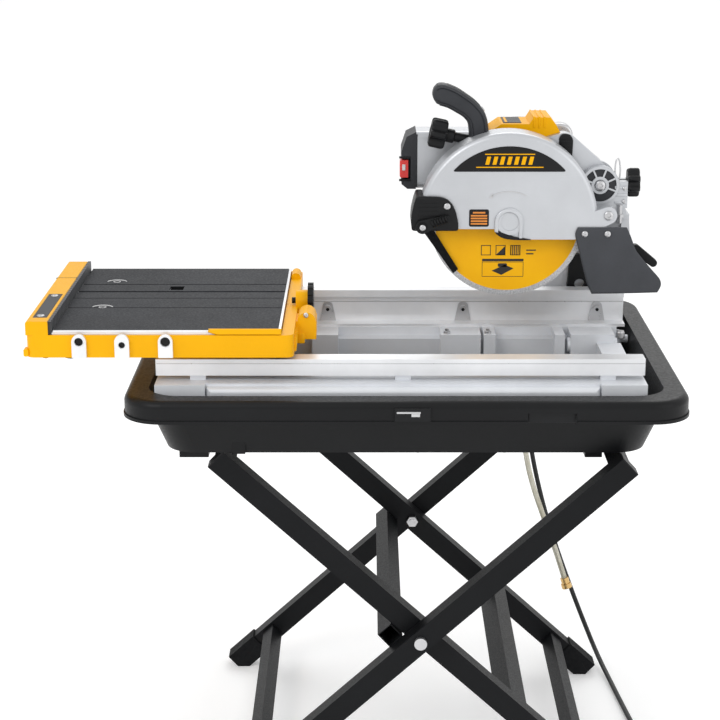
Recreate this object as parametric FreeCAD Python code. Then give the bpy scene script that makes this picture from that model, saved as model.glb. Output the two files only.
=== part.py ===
"""Wet tile saw on a folding scissor stand: one STEP file per piece, in millimetres.

The saw is drawn with X to the right along the table's travel, Y from the operator's side to the
back, and Z up from the floor. At the end every piece is moved by one offset, so that the origin is
on the floor under the middle of the saw.
"""
import FreeCAD
import Part
import math
import os

Vec = FreeCAD.Vector

# Stand
PIVOT_X = 86.0
PIVOT_Z = 312.0
LEG_ANGLE = 42.5
LEG_HALF = 432.0
LEG_WIDE = 35.0
LEG_DEEP = 30.0
LEG_WALL = 2.0
LEG_GAP = 5.0
OUTER_FRONT_Y = 30.0
OUTER_REAR_Y = 600.0
INNER_FRONT_Y = OUTER_FRONT_Y + LEG_DEEP + LEG_GAP
INNER_REAR_Y = OUTER_REAR_Y - LEG_GAP - LEG_DEEP
BAR_WIDE = 25.0
STOP_BAR_WIDE = 28.0
BRACE_FROM_PIVOT = 205.0
BOLT_R = 6.0
RUNNING_GAP = 0.05
BODY_GAP = 0.3
CAP_FLANGE = 2.0
BOOT_WALL = 3.0

# Water pan
PAN_LEFT = -370.0
PAN_RIGHT = 494.0
PAN_DEEP = 660.0
RIM_TOP = 717.0
RIM_LOW = 683.0
RIM_WIDE = 35.0
PAN_WALL = 4.0
PAN_CORNER_R = 62.0

# Base casting and rails
CAST_LEFT = -323.0
CAST_RIGHT = 430.0
FRONT_RAIL_TOP = 762.0
FRONT_RAIL_Y = 80.0
FRONT_RAIL_DEEP = 30.0
FRONT_RAIL_TALL = 26.0
REAR_RAIL_TOP = 786.0
REAR_RAIL_Y = 430.0
REAR_RAIL_RIGHT = 444.0
REAR_BEAM_TOP = 726.0
RAIL_WALL = 3.0
BEAM_LOW = 652.0
BRACKET_BOLT_Z = 752.0
BRACKET_BOLT_R = 4.0

# Sliding cart
CART_LEFT = -516.0
CART_RIGHT = -110.0
CART_FRONT = 58.0
CART_BACK = 488.0
CART_LOW = 771.0
CART_TOP = 806.0
DECK_TOP = 812.0
DECK_LEFT = -477.0
DECK_RIGHT = -130.0
MAT_THICK = 3.0
ROLLER_R = 12.0
ROLLER_WIDE = 20.0
AXLE_R = 4.0
CART_KNOB_Y = 250.0
CART_KNOB_Z = 813.0
CART_KNOB_R = 29.0
POCKET = (-326.0, -303.0, 325.0, 350.0)
FENCE_BACK = 474.0

# Saw head
BLADE_X = 230.6
BLADE_Y = 313.0
BLADE_Z = 933.7
BLADE_R = 127.0
BLADE_THICK = 2.4
ARBOR_R = 7.9
GUARD_R = 145.0
GUARD_FRONT = 285.0
GUARD_SPLIT = 320.0
GUARD_BACK = 341.0
GUARD_WALL = 5.0
MOTOR_X = 262.0
MOTOR_Z = 1012.0
MOTOR_R = 62.0
MOTOR_FRONT = 382.0
MOTOR_BACK = 520.0
SWITCH_FRONT = 384.0
SWITCH_BACK = 456.0
SWITCH_LEFT = 83.0
SWITCH_LOW = 970.5
SWITCH_HIGH = 1065.5
PINION_TEETH = 16
GEAR_TEETH = 64
BEARING_R = 17.5
SHAFT_R = 7.0
CASE_R = 82.0
CASE_TOP_R = 34.0
CASE_WALL = 5.0
SHOULDER = (324.0, 1044.0, 24.0)
HANDLE_Y = BLADE_Y + 33
FLAP_Z = 917.0
TAIL_X = 392.0
TAIL_Z = 945.0
PLUNGE_X = 384.0
PLUNGE_Z = 984.0
BEVEL_Y = BLADE_Y
BEVEL_Z = 850.0
BEVEL_BOSS_R = 18.0
PIN_R = 8.0
BRACKET_FRONT = 343.5
BRACKET_BACK = 407.0
CLAMP_STEM_R = 5.0
CLAMP_KNOB_X = 431.0
CLAMP_KNOB_Y = 363.0
CLAMP_KNOB_Z = 986.0
LEVER_X = 445.0
LEVER_Z = 879.0

# Cords
CORD_R = 4.5
TUBE_R = 5.25
CORD_EXIT_X = 340.0
TUBE_EXIT_X = 319.0
EXIT_Y = 596.0
EXIT_Z = 745.0
CLAMP_BACK = 570.0
COIL_X = 540.0
COIL_Y = 225.0
COIL_Z = 9.8
COIL_R = 50.0
COIL_THICK_R = 9.5
PLUG_Z = 12.5

PARTS = {}
UP = Vec(0, 0, 1)
ALONG_Y = Vec(0, 1, 0)
ALONG_X = Vec(1, 0, 0)


def box(x0, x1, y0, y1, z0, z1):
    """A block between two corners."""
    return Part.makeBox(x1 - x0, y1 - y0, z1 - z0, Vec(x0, y0, z0))


def rod(x, y, z, along, radius, length):
    """A cylinder that starts at a point and runs along a direction."""
    return Part.makeCylinder(radius, length, Vec(x, y, z), along)


def prism_y(points, y0, y1):
    """A plate with an outline of (x, z) points, from y0 to y1."""
    wire = Part.makePolygon([Vec(x, y0, z) for x, z in points + points[:1]])
    return Part.Face(wire).extrude(Vec(0, y1 - y0, 0))


def prism_x(points, x0, x1):
    """A plate with an outline of (y, z) points, from x0 to x1."""
    wire = Part.makePolygon([Vec(x0, y, z) for y, z in points + points[:1]])
    return Part.Face(wire).extrude(Vec(x1 - x0, 0, 0))


def round_rect(x0, x1, y0, y1, radius, z):
    """A level rounded rectangle, as one closed wire."""
    edges = []
    corners = [(x1, y1, 0), (x0, y1, 90), (x0, y0, 180), (x1, y0, 270)]
    ends = []
    for x, y, start in corners:
        centre = Vec(x - math.copysign(radius, x - x0 - 1e-6), y - math.copysign(radius, y - y0 - 1e-6), z)
        arc = Part.ArcOfCircle(Part.Circle(centre, UP, radius), math.radians(start), math.radians(start + 90))
        ends.append(arc.toShape())
    for index, arc in enumerate(ends):
        following = ends[(index + 1) % 4]
        edges.append(arc)
        edges.append(Part.makeLine(arc.Vertexes[-1].Point, following.Vertexes[0].Point))
    return Part.Wire(edges)


def slab(x0, x1, y0, y1, radius, z0, z1):
    """An upright block with rounded corners."""
    return Part.Face(round_rect(x0, x1, y0, y1, radius, z0)).extrude(Vec(0, 0, z1 - z0))


def link(ax, az, ar, bx, bz, br, y0, y1):
    """Two discs in the XZ plane and the straight sides that touch both."""
    length = math.hypot(bx - ax, bz - az)
    heading = math.atan2(bz - az, bx - ax)
    lean = math.acos((ar - br) / length)
    outline = []
    for x, z, r, side in ((ax, az, ar, 1), (bx, bz, br, 1), (bx, bz, br, -1), (ax, az, ar, -1)):
        angle = heading + side * lean
        outline.append((x + r * math.cos(angle), z + r * math.sin(angle)))
    ends = [rod(ax, y0, az, ALONG_Y, ar, y1 - y0), rod(bx, y0, bz, ALONG_Y, br, y1 - y0)]
    return prism_y(outline, y0, y1).multiFuse(ends).removeSplitter()


def fused(shapes):
    """One solid from shapes that touch or cross."""
    return shapes[0].multiFuse(shapes[1:]).removeSplitter()


def rounded(shape, radius, wanted):
    """Fillet the edges whose middle point passes a test."""
    edges = [edge for edge in shape.Edges if wanted(edge.BoundBox.Center)]
    return shape.makeFillet(radius, edges)


def on_leg(shape, side):
    """Turn a piece drawn level about the pivot to the slope of an outer (1) or inner (-1) leg."""
    shape.rotate(Vec(0, 0, 0), ALONG_Y, -side * LEG_ANGLE)
    shape.translate(Vec(PIVOT_X, 0, PIVOT_Z))
    return shape


def leg(y, side):
    """A rectangular tube with a cross hole for the pivot bolt."""
    half = LEG_WIDE / 2
    body = box(-LEG_HALF, LEG_HALF, y, y + LEG_DEEP, -half, half)
    hollow = box(
        -LEG_HALF, LEG_HALF, y + LEG_WALL, y + LEG_DEEP - LEG_WALL, LEG_WALL - half, half - LEG_WALL
    )
    hole = rod(0, y - 1, 0, ALONG_Y, BOLT_R + RUNNING_GAP, LEG_DEEP + 2)
    return on_leg(body.cut(hollow).cut(hole), side)


def crossbar(along, y0, y1, wide, across, side):
    """A square tube between two legs, at a distance along the leg and across it."""
    half = wide / 2
    body = box(along - half, along + half, y0, y1, across - half, across + half)
    wall = 1.6
    hollow = box(along - half + wall, along + half - wall, y0, y1, across - half + wall, across + half - wall)
    return on_leg(body.cut(hollow), side)


def leg_cap(y, side):
    """A plug in the upper end of a leg, with a thin flange over the tube's end."""
    half = LEG_WIDE / 2
    end = LEG_HALF
    flange = box(end, end + CAP_FLANGE, y, y + LEG_DEEP, -half, half)
    inset = LEG_WALL
    plug = box(end - 14, end, y + inset, y + LEG_DEEP - inset, inset - half, half - inset)
    shape = fused([flange, plug])
    if side < 0:
        shape = shape.mirror(Vec(0, 0, 0), ALONG_X)
    return on_leg(shape, side)


def leg_boot(y, side):
    """A rubber boot round the lower end of a leg, cut level at the floor."""
    half = LEG_WIDE / 2
    near = y - BOOT_WALL
    far = y + LEG_DEEP + BOOT_WALL
    outer = box(-LEG_HALF - 24, -LEG_HALF + 40, near, far, -half - BOOT_WALL, half + BOOT_WALL)
    inner = box(-LEG_HALF, -LEG_HALF + 41, y, y + LEG_DEEP, -half, half)
    shape = outer.cut(inner)
    if side < 0:
        shape = shape.mirror(Vec(0, 0, 0), ALONG_X)
    shape = on_leg(shape, side)
    return shape.common(box(-900, 900, -100, 900, 0, 200))


def stand():
    """Two outer legs that stay put, and two inner legs that swing about the pivot bolts."""
    bar_along = LEG_HALF - BAR_WIDE / 2
    bar_across = (LEG_WIDE - BAR_WIDE) / 2
    outer_span = (OUTER_FRONT_Y + LEG_DEEP, OUTER_REAR_Y)
    inner_span = (INNER_FRONT_Y + LEG_DEEP, INNER_REAR_Y)
    PARTS["outer_legs"] = [leg(OUTER_FRONT_Y, 1), leg(OUTER_REAR_Y, 1)]
    PARTS["inner_legs"] = [leg(INNER_FRONT_Y, -1), leg(INNER_REAR_Y, -1)]

    # The stop bar lies in the left wedge of the cross, against the outer legs and just off the inner.
    slope = math.radians(LEG_ANGLE)
    half = STOP_BAR_WIDE / 2
    off_outer = LEG_WIDE / 2 + half
    skew = math.radians(90 - 2 * LEG_ANGLE)
    off_inner = LEG_WIDE / 2 + half * (math.cos(skew) + math.sin(skew)) + BODY_GAP
    left = (off_outer + off_inner) / (2 * math.sin(slope))
    rise = (off_outer - off_inner) / (2 * math.cos(slope))
    stop_along = -left * math.cos(slope) + rise * math.sin(slope)
    PARTS["outer_crossbars"] = [
        crossbar(bar_along, *outer_span, BAR_WIDE, bar_across, 1),
        crossbar(-bar_along + 60, *outer_span, BAR_WIDE, 0, 1),
        crossbar(stop_along, *outer_span, STOP_BAR_WIDE, off_outer, 1),
    ]
    PARTS["inner_crossbars"] = [
        crossbar(-bar_along, *inner_span, BAR_WIDE, bar_across, -1),
        crossbar(bar_along - 60, *inner_span, BAR_WIDE, 0, -1),
        crossbar(BRACE_FROM_PIVOT, *inner_span, LEG_WIDE, 0, -1),
    ]
    PARTS["outer_end_caps"] = [leg_cap(OUTER_FRONT_Y, 1), leg_cap(OUTER_REAR_Y, 1)]
    PARTS["inner_end_caps"] = [leg_cap(INNER_FRONT_Y, -1), leg_cap(INNER_REAR_Y, -1)]
    PARTS["outer_feet"] = [leg_boot(OUTER_FRONT_Y, 1), leg_boot(OUTER_REAR_Y, 1)]
    PARTS["inner_feet"] = [leg_boot(INNER_FRONT_Y, -1), leg_boot(INNER_REAR_Y, -1)]

    # A bolt goes through each pair of legs, with its head outside and its nut inside.
    head_tall = 7.0
    hardware = []
    for outer_face, inward in ((OUTER_FRONT_Y, 1), (OUTER_REAR_Y + LEG_DEEP, -1)):
        inward_axis = Vec(0, inward, 0)
        head_start = outer_face - inward * head_tall
        reach = 2 * LEG_DEEP + LEG_GAP
        head = rod(PIVOT_X, head_start, PIVOT_Z, inward_axis, 10, head_tall)
        shank = rod(PIVOT_X, outer_face, PIVOT_Z, inward_axis, BOLT_R, reach + 10)
        hardware.append(head.fuse(shank).removeSplitter())
        washer_start = outer_face + inward * LEG_DEEP
        washer = rod(PIVOT_X, washer_start, PIVOT_Z, inward_axis, 14, LEG_GAP - BODY_GAP)
        bore = rod(PIVOT_X, washer_start, PIVOT_Z, inward_axis, BOLT_R + RUNNING_GAP, LEG_GAP)
        hardware.append(washer.cut(bore))
        nut_start = outer_face + inward * (reach + BODY_GAP)
        nut = hexagon(PIVOT_X, nut_start, PIVOT_Z, 10.5, inward * 8)
        hole = rod(PIVOT_X, nut_start, PIVOT_Z, inward_axis, BOLT_R, 10)
        hardware.append(nut.cut(hole))
    PARTS["pivot_hardware"] = hardware


def hexagon(x, y, z, radius, thick):
    """A six-sided nut or bolt head whose axis runs along Y."""
    turns = [math.radians(60 * k) for k in range(6)]
    return prism_y([(x + radius * math.cos(a), z + radius * math.sin(a)) for a in turns], y, y + thick)


def pan_level():
    """The height of the pan's underside, just over the corners of the leg caps."""
    slope = math.radians(LEG_ANGLE)
    rise = (LEG_HALF + CAP_FLANGE) * math.sin(slope) + LEG_WIDE / 2 * math.cos(slope)
    return PIVOT_Z + rise + BODY_GAP


def water_pan():
    """A tapered tub with a wide rim turned down like a gutter, feet, ribs and a spout cut-out."""
    low = pan_level()
    flare = 24.0

    def outline(inset, z, radius):
        return round_rect(PAN_LEFT + inset, PAN_RIGHT - inset, inset, PAN_DEEP - inset, radius, z)

    tub = Part.makeLoft([outline(RIM_WIDE + flare, low, 48), outline(RIM_WIDE - 6, 700, 55)], True, True)
    rim = Part.Face(outline(0, RIM_LOW, PAN_CORNER_R)).extrude(Vec(0, 0, RIM_TOP - RIM_LOW))
    rim = rounded(rim, 11, lambda c: abs(c.z - RIM_TOP) < 0.1)
    gutter = Part.Face(outline(3.5, RIM_LOW - 1, PAN_CORNER_R - 3)).extrude(Vec(0, 0, 26))
    core = Part.Face(outline(RIM_WIDE - 6, RIM_LOW - 1, 55)).extrude(Vec(0, 0, 26))
    bead = Part.Face(outline(-1.5, RIM_LOW, PAN_CORNER_R)).extrude(Vec(0, 0, 5))
    bead = bead.cut(Part.Face(outline(3.5, RIM_LOW, PAN_CORNER_R - 3)).extrude(Vec(0, 0, 5)))
    body = fused([rim.cut(gutter.cut(core)), tub, bead])

    hollow_low = outline(RIM_WIDE + flare + PAN_WALL, low + PAN_WALL, 44)
    hollow_high = outline(RIM_WIDE, RIM_TOP + 1, 50)
    body = body.cut(Part.makeLoft([hollow_low, hollow_high], True, True))
    fit_low = outline(RIM_WIDE + flare + PAN_WALL + BODY_GAP, low + PAN_WALL, 44)
    fit_high = outline(RIM_WIDE + BODY_GAP, RIM_TOP + 1, 50)
    above = box(PAN_LEFT, PAN_RIGHT, 0, PAN_DEEP, RIM_TOP, RIM_TOP + 200)
    well = Part.makeLoft([fit_low, fit_high], True, True).fuse(above)

    extras = []
    for x0, x1 in ((-294, -248), (345, 372)):
        for y0 in (112, 500):
            extras.append(box(x0, x1, y0, y0 + 46, low - 26, low + 2))
    for x in (-200, -55, 80, 214):
        extras.append(rod(x, RIM_WIDE + flare + 2, low + 8, ALONG_Y, 9, 20))
    extras.append(box(-206, -186, 52, 64, low, low + 40))
    notch = slab(243, 317, -10, 11, 4, RIM_LOW - 5, RIM_LOW + 17)
    PARTS["water_pan"] = fused([body] + extras).cut(notch)

    clip_x = 70.0
    plate = box(clip_x - 27, clip_x + 27, -5.0, -2.2, RIM_LOW + 6, RIM_TOP - 8)
    tongue = box(clip_x - 12, clip_x + 12, -5.0, 0, RIM_LOW + 12, RIM_TOP - 14)
    PARTS["pan_clip"] = fused([plate, tongue])
    return well


def base_casting(well):
    """The cast frame, which keeps inside the pan's well: two beams joined at both ends, and their rails."""
    floor = pan_level() + PAN_WALL
    front = box(CAST_LEFT, CAST_RIGHT, 64, 118, BEAM_LOW, 728)
    bulge = rounded(box(-243, 357, 50, 66, 668, 724), 7.5, lambda c: abs(c.y - 50) < 0.1)
    blocks = [box(CAST_LEFT, -246, 54, 66, 672, 728), box(360, CAST_RIGHT, 54, 66, 672, 728)]
    seats = [box(x - 12, x + 12, 84, 106, 728, 736) for x in (-259, 57, 373)]
    feet = [rod(x, 92, floor, UP, 17, BEAM_LOW + 1 - floor) for x in (CAST_LEFT + 30, 57, CAST_RIGHT - 30)]
    PARTS["casting_front_beam"] = fused([front, bulge] + blocks + seats + feet).common(well)

    rear = [box(CAST_LEFT, CAST_RIGHT, 410, 450, BEAM_LOW, REAR_BEAM_TOP)]
    rear.append(box(-91, 420, 384, 411, 656, 712))
    for x0, x1 in ((-91, -47), (126, 194), (199, 219), (319, 336), (346, 420)):
        rear.append(box(x0, x1, 357, 411, 660, REAR_BEAM_TOP))
    rear.append(rod(341, 369.5, 706, ALONG_X, 12, 84))
    rear.append(rod(CAST_RIGHT, 430, 700, ALONG_X, 16, 8))
    rear.append(rod(CAST_RIGHT + 8, 430, 700, ALONG_X, 7, 14))
    rear += [rod(x, 430, floor, UP, 17, BEAM_LOW + 1 - floor) for x in (CAST_LEFT + 30, 57, CAST_RIGHT - 30)]
    PARTS["casting_rear_beam"] = fused(rear).common(well)
    PARTS["casting_end_members"] = [
        box(CAST_LEFT, CAST_LEFT + 40, 118, 410, 656, 712).common(well),
        box(CAST_RIGHT - 40, CAST_RIGHT, 118, 357, 656, 712).common(well),
    ]

    low = FRONT_RAIL_TOP - FRONT_RAIL_TALL
    back = FRONT_RAIL_Y + FRONT_RAIL_DEEP
    rail = box(CAST_LEFT, CAST_RIGHT - 1, FRONT_RAIL_Y, back, low, FRONT_RAIL_TOP)
    wall = RAIL_WALL
    hollow = box(CAST_LEFT, CAST_RIGHT, FRONT_RAIL_Y + wall, back - wall, low + wall, FRONT_RAIL_TOP - wall)
    PARTS["front_rail"] = rail.cut(hollow)
    y = REAR_RAIL_Y
    top = REAR_RAIL_TOP
    profile = [
        (y, top), (y, top - 12), (y + 8, top - 12), (y + 8, 731), (y - 18, 731), (y - 18, 726),
        (y + 12, 726), (y + 12, top - 9), (y + 28, top - 9), (y + 28, top),
    ]
    PARTS["rear_rail"] = prism_x(profile, CAST_LEFT, REAR_RAIL_RIGHT)
    PARTS["base_hardware"] = []
    face = y + 8
    for x in (-66, 167, 398):
        outline = [(x - 14, 731), (x + 14, 731), (x + 9, 756), (x - 9, 756)]
        lobe = rod(x, face - 4, 756, ALONG_Y, 9, 4)
        bracket = prism_y(outline, face - 4, face).fuse(lobe).removeSplitter()
        hole = rod(x, face - 5, BRACKET_BOLT_Z, ALONG_Y, BRACKET_BOLT_R, 6)
        PARTS["base_hardware"].append(bracket.cut(hole))
        shank = rod(x, face - 4, BRACKET_BOLT_Z, ALONG_Y, BRACKET_BOLT_R, 4)
        bolt = hexagon(x, face - 9, BRACKET_BOLT_Z, 7, 5).fuse(shank)
        PARTS["base_hardware"].append(bolt.removeSplitter())


def column_and_arm():
    """The column behind the table, and the arm that reaches over it to the bevel pivot."""
    seat = REAR_BEAM_TOP
    base = box(290, 428, 450, 580, 690, seat)
    gusset = prism_y([(290, seat), (428, seat), (388, 800), (306, 800)], 512, 566)
    outline = [(304, seat), (392, seat), (388, 888), (330, 888)]
    PARTS["head_column"] = fused([base, gusset, prism_y(outline, 505, 570)])
    arm = box(392, 420, BEVEL_Y, 570, BEVEL_Z - BEVEL_BOSS_R + 2, 890)
    arm = rounded(arm, 6, lambda c: c.y > 569)
    slant = [(BEVEL_Y - 30, 892), (BEVEL_Y - 30, BEVEL_Z), (BEVEL_Y, BEVEL_Z + 14), (430, 892)]
    taper = prism_x(slant, 390, 422)
    boss = rod(392, BEVEL_Y, BEVEL_Z, ALONG_X, BEVEL_BOSS_R, 28)
    saddle = box(388, 420, 512, 564, 800, 890)
    hole = rod(391, BEVEL_Y, BEVEL_Z, ALONG_X, PIN_R + RUNNING_GAP, 30)
    front = box(391, 421, BEVEL_Y - 40, BEVEL_Y, BEVEL_Z - 40, 900)
    shape = fused([arm.cut(taper).cut(front), boss, saddle]).cut(hole)
    PARTS["support_arm"] = shape.cut(PARTS["head_column"])
    for x in (302, 416):
        PARTS["base_hardware"].append(rod(x, 480, seat, UP, 7, 5))
        PARTS["base_hardware"].append(rod(x, 575.2, seat, UP, 4.5, 5))
    # Black fittings on the column: a pierced plate in front, a wedge beside it and two cord clamps behind.
    pierced = prism_y([(352, 768), (360, 762), (394, 762), (394, 818), (380, 835), (356, 835)], 493, 505)
    pierced = pierced.cut(rod(374, 492, 782, ALONG_Y, 9, 14))
    wedge = prism_y([(397, 777), (452, 777), (452, 762), (438, 706), (420, 706), (397, 740)], 507, 560)
    wedge = wedge.cut(PARTS["head_column"])
    clamps = []
    for x, radius in ((CORD_EXIT_X, CORD_R), (TUBE_EXIT_X, TUBE_R)):
        clamps.append(rod(x, CLAMP_BACK, EXIT_Z, ALONG_Y, radius + 5, EXIT_Y - CLAMP_BACK))
    PARTS["column_fittings"] = [pierced, wedge] + clamps


def cart():
    """The sliding table: yellow frame, aluminium tray, two rubber mats and a fence."""
    skirt = slab(CART_LEFT, CART_RIGHT, CART_FRONT, CART_BACK, 12, CART_LOW, CART_TOP)
    under = slab(CART_LEFT + 5, CART_RIGHT - 5, CART_FRONT + 5, CART_BACK - 5, 8, CART_LOW - 1, 790)
    pocket = box(DECK_LEFT - 1, DECK_RIGHT + 2, CART_FRONT + 3, CART_BACK - 3, 796, CART_TOP + 1)
    frame = skirt.cut(under).cut(pocket)
    rail_gap = box(CART_LEFT - 1, CART_RIGHT + 1, REAR_RAIL_Y - 8, REAR_RAIL_Y + 36, CART_LOW - 1, 789)
    frame = frame.cut(rail_gap)

    roller_z = FRONT_RAIL_TOP + BODY_GAP + ROLLER_R
    roller_y = FRONT_RAIL_Y + (FRONT_RAIL_DEEP - ROLLER_WIDE) / 2
    axle_y = roller_y - 12
    roller_x = (CART_LEFT + 24, CART_RIGHT - 24)
    extras = []
    holes = []
    PARTS["roller_axles"] = []
    for x, side in zip(roller_x, ("left", "right")):
        for y0 in (roller_y - 9, roller_y + ROLLER_WIDE + 2):
            extras.append(box(x - 8, x + 8, y0, y0 + 7, CART_LOW - 4, 791))
        holes.append(rod(x, axle_y, roller_z, ALONG_Y, AXLE_R, 46))
        PARTS["roller_axles"].append(rod(x, axle_y + 3, roller_z, ALONG_Y, AXLE_R, ROLLER_WIDE + 17))
        wheel = rod(x, roller_y, roller_z, ALONG_Y, ROLLER_R, ROLLER_WIDE)
        bore = rod(x, roller_y - 1, roller_z, ALONG_Y, AXLE_R + RUNNING_GAP, ROLLER_WIDE + 2)
        wheel = wheel.cut(bore)
        PARTS["roller_" + side] = wheel
    # On the right-hand end: a low housing at the back, the knob's raised housing and a wide one in front.
    back_x = CART_RIGHT - 10
    extras.append(box(back_x - 8, back_x + 8, 430, 468, 790, 808))
    extras.append(rod(back_x, 430, 808, ALONG_Y, 8, 38))
    extras.append(box(CART_RIGHT - 2, CART_RIGHT + 32, 150, 200, 775, 804))
    extras.append(rod(CART_RIGHT + 17, 150, 804, ALONG_Y, 14, 50))
    knob_y = CART_KNOB_Y
    knob_z = CART_KNOB_Z
    extras.append(box(CART_RIGHT - 3, CART_RIGHT + 16, knob_y - 17, knob_y + 17, 777, knob_z))
    extras.append(rod(CART_RIGHT - 3, knob_y, knob_z, ALONG_X, 17, 19))
    extras.append(box(CART_RIGHT - 6, CART_RIGHT + 6, 205, 292, 775, 796))
    frame = fused([frame] + extras)
    for hole in holes:
        frame = frame.cut(hole)
    shaft_hole = rod(CART_RIGHT - 10, knob_y, knob_z, ALONG_X, 5 + RUNNING_GAP, 40)
    tray_gap = box(DECK_LEFT - 1, DECK_RIGHT + 2, CART_FRONT + 3, CART_BACK - 3, 796, DECK_TOP + 20)
    PARTS["cart_frame"] = frame.cut(shaft_hole).cut(tray_gap)

    knob_start = CART_RIGHT + 16 + BODY_GAP
    knob = rod(knob_start, knob_y, knob_z, ALONG_X, CART_KNOB_R, 9)
    teeth = []
    for k in range(14):
        angle = math.radians(360 / 14 * k)
        y = knob_y + (CART_KNOB_R + 1) * math.cos(angle)
        z = knob_z + (CART_KNOB_R + 1) * math.sin(angle)
        teeth.append(rod(knob_start - 1, y, z, ALONG_X, 3.2, 11))
    shaft = rod(CART_RIGHT - 10 + BODY_GAP, knob_y, knob_z, ALONG_X, 5, 28)
    PARTS["cart_lock_knob"] = fused([knob.cut(Part.makeCompound(teeth)), shaft])

    tray_top = DECK_TOP - MAT_THICK
    tray = box(DECK_LEFT, DECK_RIGHT, CART_FRONT + 4, CART_BACK - 4, 796, tray_top)
    slot = box(DECK_LEFT - 1, DECK_RIGHT + 1, BLADE_Y - 4, BLADE_Y + 4, 799, tray_top + 1)
    pocket = box(*POCKET, 799, tray_top + 1)
    PARTS["deck_tray"] = tray.cut(slot).cut(pocket)
    front_mat = box(DECK_LEFT + 2, DECK_RIGHT - 4, CART_FRONT + 8, BLADE_Y - 4, tray_top, DECK_TOP)
    rear_mat = box(DECK_LEFT + 2, DECK_RIGHT - 4, BLADE_Y + 4, CART_BACK - 6, tray_top, DECK_TOP)
    groove = DECK_TOP - 1.2
    for y in (205, 268):
        front_mat = front_mat.cut(box(DECK_LEFT, DECK_RIGHT, y - 1.5, y + 1.5, groove, DECK_TOP + 1))
    rear_mat = rear_mat.cut(box(DECK_LEFT, DECK_RIGHT, 362, 366, groove, DECK_TOP + 1))
    rear_mat = rear_mat.cut(box(*POCKET, tray_top - 1, DECK_TOP + 1))
    PARTS["deck_mats"] = [front_mat, rear_mat]

    fence_top = DECK_TOP + 15
    fence = box(CART_LEFT, DECK_LEFT - 5, CART_FRONT, FENCE_BACK, CART_TOP, fence_top)
    fence = rounded(fence, 3, lambda c: abs(c.z - fence_top) < 0.1)
    recess = box(CART_LEFT + 7, CART_LEFT + 29, 84, 236, fence_top - 2, fence_top + 1)
    PARTS["cart_fence"] = fence.cut(recess)
    scale_strip = box(DECK_LEFT - 5, DECK_LEFT, CART_FRONT + 3, FENCE_BACK, CART_TOP, fence_top)
    inset_plate = box(CART_LEFT + 7.5, CART_LEFT + 28.5, 84.5, 235.5, fence_top - 2, fence_top)
    inset_screws = []
    for y in (96, 224):
        inset_screws.append(rod(CART_LEFT + 18, y, fence_top, UP, 4, 1.2))
    PARTS["fence_trim"] = [scale_strip, inset_plate] + inset_screws
    glide_y = REAR_RAIL_Y + 4
    PARTS["rear_glides"] = []
    for x in (CART_LEFT + 24, CART_RIGHT - 24):
        glide = box(x - 16, x + 16, glide_y, glide_y + 20, REAR_RAIL_TOP + BODY_GAP, 790)
        PARTS["rear_glides"].append(glide)

    PARTS["skirt_bosses"] = []
    for x, hole_r, drop in ((-435, 6.5, 0), (-370, 5, 5), (-304, 7.5, 0)):
        face = CART_FRONT - 6
        body = box(x - 11, x + 11, face, CART_FRONT, CART_LOW + 1, 797)
        crown = rod(x, face, 797, ALONG_Y, 11, 6)
        boss = body.fuse(crown).removeSplitter()
        PARTS["skirt_bosses"].append(boss.cut(rod(x, face - 1, 797 - drop, ALONG_Y, hole_r, 6)))


def gear(x, z, teeth, pitch_r, y0, y1, phase):
    """A straight-toothed wheel: each tooth is a tapered block on a plain disc."""
    pitch = 2 * math.pi * pitch_r / teeth
    tall = 0.28 * pitch
    root_r = pitch_r - 1.25 * tall
    tooth = [
        (root_r - 1, -0.25 * pitch), (pitch_r, -0.21 * pitch), (pitch_r + tall, -0.1 * pitch),
        (pitch_r + tall, 0.1 * pitch), (pitch_r, 0.21 * pitch), (root_r - 1, 0.25 * pitch),
    ]
    solids = [rod(x, y0, z, ALONG_Y, root_r, y1 - y0)]
    for k in range(teeth):
        a = phase + 2 * math.pi * k / teeth
        points = []
        for out, side in tooth:
            across = x + out * math.cos(a) - side * math.sin(a)
            up = z + out * math.sin(a) + side * math.cos(a)
            points.append((across, up))
        solids.append(prism_y(points, y0, y1))
    return fused(solids)


def guard_outline(radius, inset):
    """The guard seen from the front: an arc over the top and a stepped lower edge."""
    low = 905.7 + inset
    step = 923.0 + inset
    left_x = BLADE_X - math.sqrt(radius ** 2 - (step - BLADE_Z) ** 2)
    right_x = BLADE_X + math.sqrt(radius ** 2 - (low - BLADE_Z) ** 2)
    start = Vec(left_x, 0, step)
    end = Vec(right_x, 0, low)
    arc = Part.Arc(start, Vec(BLADE_X, 0, BLADE_Z + radius), end).toShape()
    path = [end, Vec(269, 0, low), Vec(240, 0, low + 5), Vec(207, 0, step), start]
    lines = [Part.makeLine(a, b) for a, b in zip(path, path[1:])]
    return Part.Face(Part.Wire([arc] + lines))


def guard_slice(radius, inset, y0, y1):
    """The guard's outline as a block from y0 to y1."""
    face = guard_outline(radius, inset)
    face.translate(Vec(0, y0, 0))
    return face.extrude(Vec(0, y1 - y0, 0))


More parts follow.
